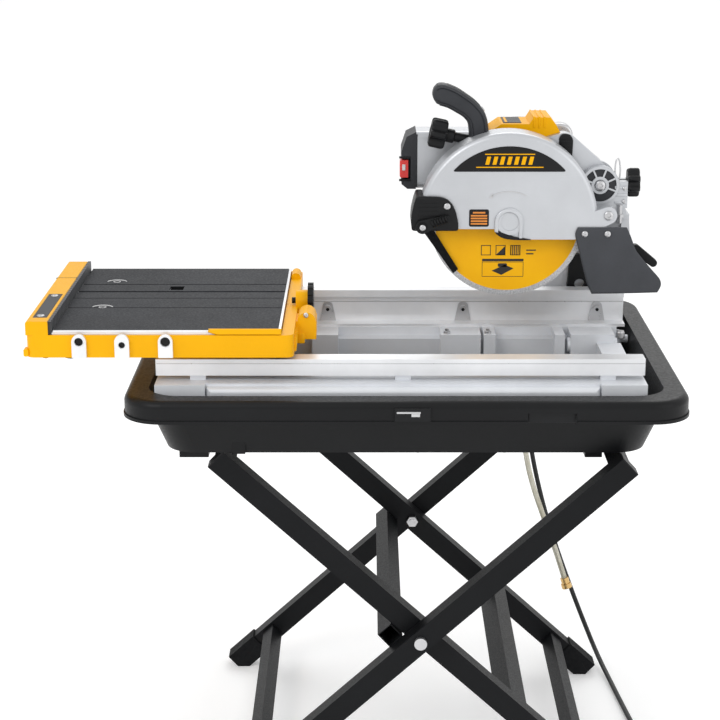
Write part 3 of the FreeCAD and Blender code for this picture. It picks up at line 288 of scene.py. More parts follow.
def plate(name, outline, y0, y1, smooth=True):
    """A flat plate: an outline of (x, z) points carried from y0 to y1."""
    outline = np.asarray(outline, float)
    count = len(outline)
    front = np.column_stack([outline[:, 0], np.full(count, y0), outline[:, 1]])
    back = np.column_stack([outline[:, 0], np.full(count, y1), outline[:, 1]])
    faces = [list(range(count)), list(range(count, 2 * count))]
    faces += [[i, (i + 1) % count, count + (i + 1) % count, count + i] for i in range(count)]
    return outward(add_mesh(name, np.vstack([front, back]), faces, smooth))


def slab(name, low, high, round_edges=0.001):
    """A block between two corners with rounded edges."""
    low, high = np.asarray(low, float), np.asarray(high, float)
    outline = box_outline(low[0], high[0], low[2], high[2])
    return soften(plate(name, outline, low[1], high[1]), round_edges)


def open_curve(points, steps=10):
    """An open Catmull-Rom curve through its points."""
    points = np.asarray(points, float)
    padded = np.vstack([2 * points[0] - points[1], points, 2 * points[-1] - points[-2]])
    t = np.linspace(0, 1, steps, endpoint=False)[:, None]
    spans = []
    for i in range(1, len(padded) - 2):
        a, b, c, d = padded[i - 1:i + 3]
        spans.append(0.5 * (2 * b + (c - a) * t + (2 * a - 5 * b + 4 * c - d) * t ** 2
                            + (3 * b - a - 3 * c + d) * t ** 3))
    return np.vstack(spans + [points[-1:]])


def swept(name, path, across, upward, sideways):
    """A closed bar: an oval section carried along a path.

    The section at a path point is centre + upward * cos(t) * normal + sideways * sin(t) * across,
    with its corners squared by a power below one.
    """
    path = np.asarray(path, float)
    normal = np.cross(directions(path), unit(across))
    t = np.linspace(0, 2 * np.pi, 40, endpoint=False)
    c = np.sign(np.cos(t)) * np.abs(np.cos(t)) ** 0.62
    s = np.sign(np.sin(t)) * np.abs(np.sin(t)) ** 0.62
    upward = np.broadcast_to(upward, len(path))
    sideways = np.broadcast_to(sideways, len(path))
    points = (path[:, None] + (upward[:, None] * c)[..., None] * normal[:, None]
              + (sideways[:, None] * s)[..., None] * unit(across))
    return outward(add_mesh(name, points.reshape(-1, 3), tube_faces(len(path), len(t)), sharp=50))


def wire(name, path, radius, steps=12):
    """A round wire along a path, with closed ends."""
    path = np.asarray(path, float)
    tangent = directions(path)
    first, second = [], []
    side = cross_axes(tangent[0])[0]
    for direction in tangent:
        side = unit(side - direction * np.dot(side, direction))
        first.append(side)
        second.append(np.cross(direction, side))
    t = np.linspace(0, 2 * np.pi, steps, endpoint=False)
    ring = (np.cos(t)[None, :, None] * np.array(first)[:, None]
            + np.sin(t)[None, :, None] * np.array(second)[:, None])
    points = path[:, None] + radius * ring
    return outward(add_mesh(name, points.reshape(-1, 3), tube_faces(len(path), steps)))


def screw(name, base, axis, radius, height):
    """A pan-head screw: a domed turned head with a shallow socket."""
    profile = [(radius, 0), (radius, height * 0.35), (radius * 0.93, height * 0.72),
               (radius * 0.7, height * 0.95), (radius * 0.45, height), (radius * 0.4, height),
               (radius * 0.36, height * 0.45), (radius * 0.02, height * 0.4)]
    return turned(name, profile, base, axis, 28)


def joined(name, pieces):
    """One mesh piece from several, with their modifiers applied."""
    depsgraph = bpy.context.evaluated_depsgraph_get()
    points, faces, start = [], [], 0
    for piece in pieces:
        mesh = piece.evaluated_get(depsgraph).to_mesh()
        co = np.empty(len(mesh.vertices) * 3)
        mesh.vertices.foreach_get("co", co)
        points.append(co.reshape(-1, 3))
        faces += [[start + v for v in face.vertices] for face in mesh.polygons]
        start += len(mesh.vertices)
        bpy.data.objects.remove(piece)
    return add_mesh(name, np.vstack(points), faces)


# --------------------------------------------------------------------------------------- materials


def new_group(name, inputs, outputs):
    """An empty shader group with float or vector sockets."""
    group = bpy.data.node_groups.new(name, "ShaderNodeTree")
    for label, kind, default in inputs:
        socket = group.interface.new_socket(name=label, in_out="INPUT", socket_type="NodeSocket" + kind)
        if default is not None:
            socket.default_value = default
    for label, kind in outputs:
        group.interface.new_socket(name=label, in_out="OUTPUT", socket_type="NodeSocket" + kind)
    return group, group.nodes.new("NodeGroupInput"), group.nodes.new("NodeGroupOutput")


def math_node(tree, operation, a, b=None, clamp=False):
    """A math node fed by sockets or numbers."""
    node = tree.nodes.new("ShaderNodeMath")
    node.operation = operation
    node.use_clamp = clamp
    for socket, value in zip(node.inputs, (a, b)):
        if value is None:
            continue
        if isinstance(value, (int, float)):
            socket.default_value = value
        else:
            tree.links.new(value, socket)
    return node.outputs[0]


def vector_node(tree, operation, vector, value=None):
    """A vector math node fed by a socket and, where it needs one, a fixed vector."""
    node = tree.nodes.new("ShaderNodeVectorMath")
    node.operation = operation
    tree.links.new(vector, node.inputs[0])
    if value is not None:
        node.inputs[1].default_value = tuple(value)
    return node


def ranged(tree, value, low, high, out_low, out_high):
    """A value carried from one range to another, held at its ends."""
    node = tree.nodes.new("ShaderNodeMapRange")
    tree.links.new(value, node.inputs["Value"])
    for label, number in (("From Min", low), ("From Max", high), ("To Min", out_low), ("To Max", out_high)):
        if isinstance(number, (int, float)):
            node.inputs[label].default_value = number
        else:
            tree.links.new(number, node.inputs[label])
    return node.outputs["Result"]


def noise(tree, vector, scale, detail=3.0, rough=0.55):
    """A noise texture's value at a vector."""
    node = tree.nodes.new("ShaderNodeTexNoise")
    tree.links.new(vector, node.inputs["Vector"])
    if isinstance(scale, (int, float)):
        node.inputs["Scale"].default_value = scale
    else:
        tree.links.new(scale, node.inputs["Scale"])
    node.inputs["Detail"].default_value = detail
    node.inputs["Roughness"].default_value = rough
    return node.outputs["Fac"]


def build_groups():
    """The shared effects: fine grain, broad mottling, and dust that settles on what faces up."""
    group, start, end = new_group(
        "fine_grain", [("Vector", "Vector", None), ("Scale", "Float", 900.0)],
        [("Height", "Float"), ("Mask", "Float")])
    fine = noise(group, start.outputs["Vector"], start.outputs["Scale"], 2.0)
    broad = noise(group, start.outputs["Vector"],
                  math_node(group, "MULTIPLY", start.outputs["Scale"], 0.23), 3.0)
    height = math_node(group, "ADD", math_node(group, "MULTIPLY", fine, 0.6),
                       math_node(group, "MULTIPLY", broad, 0.4))
    group.links.new(height, end.inputs["Height"])
    group.links.new(ranged(group, broad, 0.35, 0.65, 0.0, 1.0), end.inputs["Mask"])

    group, start, end = new_group(
        "mottling", [("Vector", "Vector", None), ("Scale", "Float", 9.0)], [("Mask", "Float")])
    cloud = noise(group, start.outputs["Vector"], start.outputs["Scale"], 5.0, 0.6)
    group.links.new(ranged(group, cloud, 0.36, 0.66, 0.0, 1.0), end.inputs["Mask"])

    group, start, end = new_group(
        "settled_dust", [("Vector", "Vector", None), ("Amount", "Float", 0.1)], [("Mask", "Float")])
    geometry = group.nodes.new("ShaderNodeNewGeometry")
    split = group.nodes.new("ShaderNodeSeparateXYZ")
    group.links.new(geometry.outputs["Normal"], split.inputs[0])
    facing = ranged(group, split.outputs["Z"], 0.55, 1.0, 0.0, 1.0)
    cloud = ranged(group, noise(group, start.outputs["Vector"], 14.0, 6.0, 0.65), 0.4, 0.7, 0.25, 1.0)
    dust = math_node(group, "MULTIPLY", facing, cloud)
    group.links.new(math_node(group, "MULTIPLY", dust, start.outputs["Amount"], True), end.inputs["Mask"])

    group, start, end = new_group(
        "scratches", [("Vector", "Vector", None), ("Amount", "Float", 0.3)], [("Mask", "Float")])
    wave = group.nodes.new("ShaderNodeTexVoronoi")
    wave.feature = "DISTANCE_TO_EDGE"
    wave.inputs["Scale"].default_value = 46.0
    bent = vector_node(group, "MULTIPLY", start.outputs["Vector"], (0.35, 1.0, 1.7))
    group.links.new(bent.outputs[0], wave.inputs["Vector"])
    line = ranged(group, wave.outputs["Distance"], 0.0, 0.012, 1.0, 0.0)
    patch = ranged(group, noise(group, start.outputs["Vector"], 22.0, 4.0), 0.52, 0.68, 0.0, 1.0)
    mask = math_node(group, "MULTIPLY", math_node(group, "MULTIPLY", line, patch),
                     start.outputs["Amount"], True)
    group.links.new(mask, end.inputs["Mask"])


class Finish:
    """One material under construction: its tree, its shader and the object coordinates."""

    def __init__(self, name, roughness, metallic=0.0, specular=0.5, coat=0.0):
        """A new material with its plain values set."""
        self.material = bpy.data.materials.new(name)
        self.material.use_nodes = True
        self.tree = self.material.node_tree
        self.shader = self.tree.nodes["Principled BSDF"]
        self.shader.inputs["Roughness"].default_value = roughness
        self.shader.inputs["Metallic"].default_value = metallic
        self.shader.inputs["Specular IOR Level"].default_value = specular
        self.shader.inputs["Coat Weight"].default_value = coat
        self.shader.inputs["Coat Roughness"].default_value = 0.12
        self.coordinates = self.tree.nodes.new("ShaderNodeTexCoord").outputs["Object"]

    def group(self, name, **values):
        """A shared group placed in this material, fed with object coordinates."""
        node = self.tree.nodes.new("ShaderNodeGroup")
        node.node_tree = bpy.data.node_groups[name]
        vector = values.pop("vector", self.coordinates)
        self.tree.links.new(vector, node.inputs["Vector"])
        for label, number in values.items():
            node.inputs[label].default_value = number
        return node

    def stretched(self, x, y, z):
        """Object coordinates scaled differently along each axis."""
        node = self.tree.nodes.new("ShaderNodeMapping")
        node.inputs["Scale"].default_value = (x, y, z)
        self.tree.links.new(self.coordinates, node.inputs["Vector"])
        return node.outputs["Vector"]

    def mix(self, mask, a, b):
        """Colour a where the mask is 0 and b where it is 1."""
        node = self.tree.nodes.new("ShaderNodeMix")
        node.data_type = "RGBA"
        self.tree.links.new(mask, node.inputs["Factor"])
        for socket, value in ((node.inputs[6], a), (node.inputs[7], b)):
            if hasattr(value, "is_linked"):
                self.tree.links.new(value, socket)
            else:
                socket.default_value = (*value, 1.0)
        return node.outputs[2]

    def bump(self, height, strength, distance=0.0006):
        """Relief from a height, fed to the shader's normal."""
        node = self.tree.nodes.new("ShaderNodeBump")
        node.inputs["Strength"].default_value = strength
        node.inputs["Distance"].default_value = distance
        self.tree.links.new(height, node.inputs["Height"])
        self.tree.links.new(node.outputs["Normal"], self.shader.inputs["Normal"])

    def colour(self, socket):
        """Feed a colour to the shader."""
        self.tree.links.new(socket, self.shader.inputs["Base Color"])

    def roughness(self, mask, low, high):
        """Feed a roughness to the shader: low where the mask is 0, high where it is 1."""
        self.tree.links.new(ranged(self.tree, mask, 0.0, 1.0, low, high), self.shader.inputs["Roughness"])


def shade(colour, factor):
    """A colour made darker or lighter."""
    return tuple(min(1.0, c * factor) for c in colour)


def worn(name, base, rough, metallic=0.0, grain=900.0, relief=0.12, dust=0.12, scuffs=0.2, spread=0.16,
         coat=0.0, specular=0.5, distance=0.0004):
    """A moulded, painted or cast finish: mottled colour, scuffs, dust on top, and grain in its relief."""
    finish = Finish(name, rough, metallic, specular, coat)
    mottled = finish.group("mottling", Scale=7.0).outputs["Mask"]
    grained = finish.group("fine_grain", Scale=grain)
    tint = finish.mix(mottled, shade(base, 1 - spread), shade(base, 1 + spread))
    scuffed = finish.mix(finish.group("scratches", Amount=scuffs).outputs["Mask"], tint,
                         tuple(min(1.0, c * 1.5 + 0.06) for c in base))
    dusted = finish.mix(finish.group("settled_dust", Amount=dust).outputs["Mask"], scuffed, DUST)
    finish.colour(dusted)
    finish.roughness(grained.outputs["Mask"], rough * 0.86, min(1.0, rough * 1.16))
    finish.bump(grained.outputs["Height"], relief, distance)
    return finish.material


def brushed(name, base, rough, along=(4.0, 300.0, 300.0), relief=0.1, metallic=0.9):
    """Drawn or ground metal: fine lines along one axis, in its gloss and its relief."""
    finish = Finish(name, rough, metallic)
    lines = noise(finish.tree, finish.stretched(*along), 3.0, 3.0)
    mottled = finish.group("mottling", Scale=5.0).outputs["Mask"]
    finish.colour(finish.mix(mottled, shade(base, 0.9), shade(base, 1.08)))
    finish.roughness(lines, rough * 0.65, rough * 1.4)
    finish.bump(lines, relief, 0.0002)
    return finish.material


def radial(finish, middle, axes=(0, 2)):
    """The distance from a line through a point, square to two axes, as a socket."""
    shift = vector_node(finish.tree, "SUBTRACT", finish.coordinates, middle)
    kept = [1.0 if k in axes else 0.0 for k in range(3)]
    flat = vector_node(finish.tree, "MULTIPLY", shift.outputs[0], kept)
    return vector_node(finish.tree, "LENGTH", flat.outputs[0]).outputs["Value"]


def blade_finish(label_radius, yellow):
    """Painted disc with a bare, ground diamond rim and faint turning marks."""
    finish = Finish("painted blade", 0.42, 0.0, 0.2)
    distance = radial(finish, BLADE)
    edge = (label_radius - 0.0003, label_radius + 0.0003)
    rim = ranged(finish.tree, distance, *edge, 0.0, 1.0)
    turning = finish.tree.nodes.new("ShaderNodeTexWave")
    turning.wave_type = "RINGS"
    turning.rings_direction = "Y"
    turning.inputs["Scale"].default_value = 260.0
    turning.inputs["Distortion"].default_value = 0.6
    shifted = vector_node(finish.tree, "SUBTRACT", finish.coordinates, BLADE)
    finish.tree.links.new(shifted.outputs[0], turning.inputs["Vector"])
    mottled = finish.group("mottling", Scale=16.0).outputs["Mask"]
    # Painted light: the disc's yellow is made brighter than the cart's to make up for the weaker light on the
    # blade's upright face.
    paint = finish.mix(mottled, shade(yellow, 1.08), shade(yellow, 1.2))
    grit = finish.mix(finish.group("fine_grain", Scale=1600.0).outputs["Mask"], (0.42, 0.42, 0.43),
                      (0.68, 0.68, 0.69))
    finish.colour(finish.mix(rim, paint, grit))
    shine = ranged(finish.tree, distance, *edge, 0.0, 0.85)
    finish.tree.links.new(shine, finish.shader.inputs["Metallic"])
    finish.bump(turning.outputs["Fac"], 0.04, 0.0001)
    return finish.material


def mat_finish(dark):
    """Moulded rubber mat: narrow ribs across the travel, pebbled between them."""
    finish = Finish("ribbed rubber", 0.62, 0.0, 0.15)
    ribs = finish.tree.nodes.new("ShaderNodeTexWave")
    ribs.bands_direction = "Y"
    ribs.inputs["Scale"].default_value = 52.0
    finish.tree.links.new(finish.coordinates, ribs.inputs["Vector"])
    grained = finish.group("fine_grain", Scale=1300.0)
    mottled = finish.group("mottling", Scale=8.0).outputs["Mask"]
    base = finish.mix(mottled, shade(dark, 0.88), shade(dark, 1.18))
    dusted = finish.mix(finish.group("settled_dust", Amount=0.04).outputs["Mask"], base, (0.3, 0.3, 0.3))
    finish.colour(dusted)
    height = math_node(finish.tree, "ADD", math_node(finish.tree, "MULTIPLY", ribs.outputs["Fac"], 0.8),
                       math_node(finish.tree, "MULTIPLY", grained.outputs["Height"], 0.5))
    finish.roughness(grained.outputs["Mask"], 0.52, 0.72)
    finish.bump(height, 0.35, 0.0004)
    return finish.material


def scale_finish(dark):
    """Fence trim: dark grey with pale graduation lines across the strip."""
    finish = Finish("scale strip", 0.5, 0.0, 0.4)
    split = finish.tree.nodes.new("ShaderNodeSeparateXYZ")
    finish.tree.links.new(finish.coordinates, split.inputs[0])
    strip_x = float(corner("fence_trim", 1)[0]) - 0.0052
    on_strip = math_node(finish.tree, "GREATER_THAN", split.outputs["X"], strip_x)
    period = math_node(finish.tree, "FRACT", math_node(finish.tree, "MULTIPLY", split.outputs["Y"], 79.0))
    line = math_node(finish.tree, "LESS_THAN", period, 0.1)
    mask = math_node(finish.tree, "MULTIPLY", line, math_node(finish.tree, "MULTIPLY", on_strip, 0.55))
    grained = finish.group("fine_grain", Scale=1000.0)
    mottled = finish.mix(grained.outputs["Mask"], shade(dark, 0.85), shade(dark, 1.15))
    finish.colour(finish.mix(mask, mottled, (0.5, 0.5, 0.5)))
    finish.bump(grained.outputs["Height"], 0.1, 0.0003)
    return finish.material


def clear_finish():
    """Clear vinyl tube: see-through with a faint yellow tint."""
    finish = Finish("clear vinyl", 0.12, 0.0, 0.5)
    mottled = finish.group("mottling", Scale=30.0).outputs["Mask"]
    finish.colour(finish.mix(mottled, (0.6, 0.57, 0.45), (0.78, 0.76, 0.66)))
    finish.shader.inputs["Transmission Weight"].default_value = 0.45
    finish.shader.inputs["IOR"].default_value = 1.4
    finish.roughness(mottled, 0.08, 0.2)
    return finish.material


MATERIALS = {}


def build_materials(colours):
    """Every finish of the saw, by a maker's name."""
    yellow, dark, black, silver = (tuple(getattr(colours, k))
                                   for k in ("yellow", "dark_grey", "black", "silver"))
    build_groups()
    MATERIALS.update({
        "stand": worn("powder-coated stand", black, 0.45, grain=1500, relief=0.14, scuffs=0.06, dust=0.01,
                      specular=0.15),
        "pan": worn("moulded pan", shade(black, 0.8), 0.4, grain=1100, relief=0.1, dust=0.01, scuffs=0.06,
                    specular=0.22),
        "black": worn("black plastic", black, 0.42, grain=1400, relief=0.12, dust=0.02, specular=0.25),
        "rubber": worn("black rubber", shade(black, 0.9), 0.68, grain=700, relief=0.2, dust=0.03,
                       specular=0.15),
        "grey": worn("dark grey grip", dark, 0.48, grain=1500, relief=0.16, dust=0.02, scuffs=0.08,
                     specular=0.25),
        "flap": worn("dark grey flap", shade(dark, 1.5), 0.5, grain=1000, relief=0.08, dust=0.0, scuffs=0.1,
                     specular=0.3),
        "yellow": worn("yellow paint", yellow, 0.38, grain=1600, relief=0.06, dust=0.0, scuffs=0.06,
                       spread=0.04, coat=0.03, specular=0.12),
        "yellow plastic": worn("yellow plastic", shade(yellow, 1.02), 0.42, grain=1300, relief=0.08,
                               dust=0.01, scuffs=0.06, spread=0.04, specular=0.12),
        "silver": worn("silver cast paint", silver, 0.36, 0.5, grain=1800, relief=0.07, dust=0.02,
                       scuffs=0.12, spread=0.05, coat=0.2),
        "cast": worn("cast aluminium", shade(silver, 1.3), 0.46, 0.2, grain=800, relief=0.12, dust=0.04,
                     scuffs=0.2, spread=0.06),
        "rail": brushed("drawn aluminium", (0.86, 0.87, 0.89), 0.36, (2.0, 260.0, 260.0), 0.03, 0.5),
        "steel": brushed("zinc steel", (0.58, 0.58, 0.59), 0.3, (60.0, 60.0, 60.0)),
        "brass": brushed("turned brass", (0.72, 0.48, 0.2), 0.24, (90.0, 90.0, 90.0)),
        "copper": worn("copper windings", (0.45, 0.19, 0.07), 0.4, 0.7, grain=300, relief=0.5, dust=0.0),
        "red": worn("red switch", (0.72, 0.018, 0.012), 0.32, grain=1400, relief=0.05, dust=0.0,
                    scuffs=0.05, coat=0.3),
        "cord": worn("cord sheath", shade(black, 1.1), 0.52, grain=1200, relief=0.1, dust=0.06),
        "blade": blade_finish(bpy.context.scene.saw_sizes.blade_label_radius, yellow),
        "mat": mat_finish(shade(dark, 0.8)),
        "scale": scale_finish(dark),
        "clear": clear_finish(),
        "label": worn("dark label", (0.012, 0.012, 0.013), 0.4, grain=1500, relief=0.03, dust=0.0,
                      scuffs=0.03, specular=0.2),
        "print": worn("black print", (0.016, 0.014, 0.012), 0.5, grain=1500, relief=0.02, dust=0.0,
                      scuffs=0.0),
        "orange": worn("orange print", (0.75, 0.25, 0.03), 0.45, grain=1500, relief=0.02, dust=0.0,
                       scuffs=0.0),
        "pale": worn("pale print", (0.7, 0.7, 0.7), 0.5, grain=1500, relief=0.02, dust=0.0, scuffs=0.0),
    })


NODE_FINISH = {
    "stand": ["outer_legs", "inner_legs", "outer_crossbars", "inner_crossbars"],
    "rubber": ["outer_feet", "inner_feet", "wiper_strips"],
    "pan": ["water_pan"],
    "black": ["outer_end_caps", "inner_end_caps", "pan_clip", "column_fittings", "cart_lock_knob",
              "nozzle_housing", "nozzle_lever", "bevel_lever", "roller_left", "roller_right",
              "rear_glides"],
    "grey": ["switch_box_cap"],
    "yellow": ["cart_frame", "cart_fence"],
    "yellow plastic": ["motor_cover"],
    "silver": ["guard_cover", "head_casting", "switch_box", "motor_housing", "bevel_bracket"],
    "cast": ["casting_front_beam", "casting_rear_beam", "casting_end_members", "head_column",
             "support_arm"],
    "rail": ["front_rail", "rear_rail", "deck_tray", "skirt_bosses"],
    "steel": ["pivot_hardware", "base_hardware", "head_screws", "roller_axles", "pivot_pins",
              "shaft_bearings", "blade_flanges", "arbor_spindle", "motor_rotor"],
    "copper": ["stator"],
    "red": ["power_switch"],
    "blade": ["saw_blade"],
    "mat": ["deck_mats"],
    "scale": ["fence_trim"],
    "cord": ["power_plug"],
    "brass": ["hose_fitting"],
}


def dress(piece, finish, body):
    """Give a piece its material and the body it rides on."""
    piece.data.materials.clear()
    piece.data.materials.append(MATERIALS[finish])
    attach(piece, body)
    return piece


def dress_all(name, pieces, finish, body):
    """Make one piece of several and dress it."""
    return dress(joined(name, pieces), finish, body)


def bolt(name, base, axis, radius, height, body):
    """A steel pan-head screw in its place."""
    return dress(screw(name, base, axis, radius, height), "steel", body)


# ------------------------------------------------------------------------------------------ pieces


class SAW_OT_materials(bpy.types.Operator):
    """Build the finishes and give them to the frame's own nodes"""

    bl_idname = "saw.materials"
    bl_label = "Finishes"

    def execute(self, context):
        build_materials(context.scene.saw_colours)
        for finish, nodes in NODE_FINISH.items():
            for node in nodes:
                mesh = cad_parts[node].data
                mesh.materials.clear()
                mesh.materials.append(MATERIALS[finish])
        return {"FINISHED"}


class SAW_OT_cords(bpy.types.Operator):
    """The power cord in its coil, the clear water tube, and the sleeves they come out of"""

    bl_idname = "saw.cords"
    bl_label = "Cords"

    def execute(self, context):
        sizes = context.scene.saw_sizes
        route = [
            (0.340, 0.596, 0.745), (0.340, 0.626, 0.745), (0.337, 0.666, 0.749), (0.331, 0.704, 0.728),
            (0.325, 0.724, 0.692), (0.320, 0.728, 0.645), (0.316, 0.723, 0.590), (0.312, 0.717, 0.535),
            (0.311, 0.715, 0.480), (0.315, 0.712, 0.420), (0.330, 0.710, 0.345), (0.352, 0.707, 0.262),
            (0.380, 0.702, 0.180), (0.406, 0.690, 0.110), (0.430, 0.662, 0.052), (0.448, 0.604, 0.016),
            (0.462, 0.510, 0.005), (0.470, 0.425, 0.005), (0.478, 0.345, 0.005), (0.488, 0.285, 0.005),
        ]
        route = [tuple(placed(*point)) for point in route]
        route += coil_points(corner("cord_coil", 0), corner("cord_coil", 1), sizes.cord_radius)
        plug_low, plug_high = corner("power_plug", 0), corner("power_plug", 1)
        plug_y = (plug_low[1] + plug_high[1]) / 2
        route += [(plug_low[0] - 0.012, plug_y - 0.001, 0.0135), (plug_low[0] + 0.001, plug_y, 0.0125)]
        power = spline("power_cord_line", route, sizes.cord_radius)
        dress(power, "cord", "saw_base")
        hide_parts("power_cord", "cord_coil")
        measured(power)

        tube_route = [
            (0.319, 0.596, 0.745), (0.319, 0.622, 0.745), (0.315, 0.656, 0.748), (0.311, 0.688, 0.734),
            (0.309, 0.707, 0.706), (0.307, 0.712, 0.668), (0.305, 0.708, 0.620), (0.303, 0.701, 0.560),
            (0.300, 0.697, 0.480), (0.302, 0.694, 0.425), (0.316, 0.691, 0.350), (0.346, 0.687, 0.265),
            (0.372, 0.682, 0.195), (0.386, 0.678, 0.150),
        ]
        tube_route = [tuple(placed(*point)) for point in tube_route]
        tube = spline("water_tube_line", tube_route, sizes.tube_radius)
        dress(tube, "clear", "saw_base")
        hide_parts("water_tube")
        measured(tube)

        for name, point, radius in (("cord_sleeve", route[0], sizes.cord_radius),
                                    ("tube_sleeve", tube_route[0], sizes.tube_radius)):
            start = np.array(point) - np.array([0, 0.002, 0])
            rings = []
            for k in range(7):
                width = radius + 0.0042 - 0.0004 * k
                rings += [(width, 0.004 * k), (width, 0.004 * k + 0.0026),
                          (width - 0.0014, 0.004 * k + 0.003)]
            dress(turned(name, [(radius + 0.0045, 0)] + rings, start, BACK, 32), "rubber", "saw_base")
        return {"FINISHED"}


def coil_points(low, high, radius):
    """The put-away turns: out on the floor, in beside them, then a part turn on top of both."""
    middle = (low + high) / 2
    outer = (high[0] - low[0]) / 2 - radius
    points = []
    for k in range(COIL_POINTS):
        turn = k / POINTS_PER_TURN
        inward = min(1.0, max(0.0, turn - 0.75) / 0.5)
        rise = min(1.0, max(0.0, turn - 1.7) / 0.4)
        reach = outer - 0.001 - 2.15 * radius * inward + radius * rise
        level = radius * 1.1 + 2.05 * radius * rise
        angle = math.pi + 2 * math.pi * turn + 0.12
        points.append((middle[0] + reach * math.cos(angle), middle[1] + reach * math.sin(angle), level))
    return points


def spline(name, points, radius):
    """A round cord on one smooth line whose control points are the route's points."""
    curve = bpy.data.curves.new(name, "CURVE")
    curve.dimensions = "3D"
    line = curve.splines.new("NURBS")
    line.points.add(len(points) - 1)
    for target, point in zip(line.points, points):
        target.co = (*point, 1.0)
        target.radius = POINT_RADIUS
    line.order_u = 3
    line.use_endpoint_u = True
    curve.resolution_u = 8
    curve.bevel_depth = radius / POINT_RADIUS
    curve.bevel_resolution = 6
    curve.use_fill_caps = True
    piece = bpy.data.objects.new(name, curve)
    bpy.context.scene.collection.objects.link(piece)
    return piece


def measured(piece):
    """The length of a curve piece's own line."""
    depth = piece.data.bevel_depth
    piece.data.bevel_depth = 0.0
    mesh = bpy.data.meshes.new_from_object(piece)
    co = np.empty(len(mesh.vertices) * 3)
    mesh.vertices.foreach_get("co", co)
    bpy.data.meshes.remove(mesh)
    piece.data.bevel_depth = depth
    return float(np.linalg.norm(np.diff(co.reshape(-1, 3), axis=0), axis=1).sum())


class SAW_OT_guard(bpy.types.Operator):
    """Labels, prints, the hub arch and the screws on the blade guard"""

    bl_idname = "saw.guard"
    bl_label = "Guard details"

    def execute(self, context):
        face = GUARD_FRONT
        printed = face - 0.0012
        x, z = BLADE[0], BLADE[2]

        def segment(radius, low, y0, y1, name):
            """A plate cut from the guard's disc above a level, with rounded lower corners."""
            reach = math.acos((low - z) / radius)
            t = np.linspace(-reach, reach, 40)
            arc = np.column_stack([x + radius * np.sin(t), z + radius * np.cos(t)])
            arc = arc[np.r_[0, 3:37, 39]]
            rounding = np.full(len(arc), 1e-5)
            rounding[[0, -1]] = 0.006
            return plate(name, eased(arc, rounding), y0, y1)

        label = segment(0.124, z + 0.083, face - 0.0008, face + 0.0005, "guard_label")
        dress(soften(label, 0.0003, 2), "label", "head")
        bars = []
        for level, half in ((0.0895, 0.054), (0.1105, 0.040)):
            outline = box_outline(x - half, x + half, z + level, z + level + 0.0016)
            bars.append(plate("bar", outline, printed, face))
        for k in range(7):
            left = x - 0.0395 + 0.0115 * k
            outline = [(left, z + 0.0945), (left + 0.0062, z + 0.0945), (left + 0.0092, z + 0.1075),
                       (left + 0.003, z + 0.1075)]
            bars.append(plate("bar", outline, printed, face))
        dress_all("guard_label_pattern", bars, "yellow plastic", "head")

        warning = plate("warning_label", rounded_box(x - 0.064, x - 0.032, z - 0.0067, z + 0.0216, 0.003),
                        face - 0.0007, face)
        dress(warning, "label", "head")
        lines = []
        for k, level in enumerate((0.0150, 0.0100, 0.0056, 0.0012, -0.0032)):
            half = 0.0132 if k else 0.010
            outline = box_outline(x - 0.048 - half, x - 0.048 + half, z + level, z + level + 0.0026)
            lines.append(plate("line", outline, face - 0.001, face))
        dress_all("warning_label_lines", lines, "orange", "head")

        # The rotation arrow is embossed on the guard. Its darker steel finish also stands for the shadow
        # along the embossing, so part of its colour is painted shade.
        t = np.linspace(math.radians(60), math.radians(120), 40)
        outer, inner, low = 0.0565, 0.0552, z - 0.005
        arc = np.vstack([
            np.column_stack([x + outer * np.cos(t), low + outer * np.sin(t)]),
            np.column_stack([x + inner * np.cos(t[::-1]), low + inner * np.sin(t[::-1])]),
        ])
        arrow = [plate("arc", arc, printed, face)]
        tip = (x + outer * math.cos(t[-1]), low + outer * math.sin(t[-1]))
        arrow.append(plate("tip", [(tip[0] - 0.004, tip[1] - 0.0035), (tip[0] + 0.003, tip[1] - 0.003),
                                   (tip[0] + 0.001, tip[1] + 0.004)], printed, face))
        dress_all("rotation_arrow", arrow, "steel", "head")
        # Painted shadow: a black crescent plate under the guard's lower edge, round the hub, where the
        # guard's shadow falls on the flange and blade nut.
        crescent = np.array([(-24, -10.9), (-20, -18.5), (-12, -24), (-4.5, -26.5), (10, -28.2),
                             (26, -28.6), (38, -28.3), (9.4, -23.2), (-8, -16.8)]) / 1000
        dress(plate("hub_shadow_plate", eased(crescent, 0.003) + (x, z), face - 0.0034, face + 0.004), "black",
              "head")

        t = np.linspace(0, math.pi, 24)
        outer, inner = 0.023, 0.0165
        shape = np.vstack([
            [(x + outer, z - 0.026)],
            np.column_stack([x + outer * np.cos(t), z + outer * np.sin(t)]),
            [(x - outer, z - 0.015), (x - inner, z - 0.017)],
            np.column_stack([x + inner * np.cos(t[::-1]), z + inner * np.sin(t[::-1])]),
            [(x + inner, z - 0.026)],
        ])
        dress(soften(plate("hub_arch", shape, face - 0.004, face), 0.0015, 3), "silver", "head")
        bolt("guard_screw_left", (x - 0.1, face - 0.008, z + 0.028), FORWARD, 0.0055, 0.003, "head")
        flap_low, flap_top = corner("splash_flap", 0), corner("splash_flap", 1)[2]
        bolts_face = float(corner("head_screws", 1)[1]) - 0.0005
        bolts = [screw("screw", (flap_low[0] + px, bolts_face - 0.002, flap_top - 0.0105), FORWARD,
                       0.0052, 0.0034) for px in (0.011, 0.048)]
        bolts.append(screw("screw", (0.392 + SHIFT[0], face + 0.0003, 0.945), FORWARD, 0.0078, 0.005))
        bolts = joined("head_bolts", bolts)
        dress(bolts, "steel", "head")
        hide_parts("head_screws")
        return {"FINISHED"}


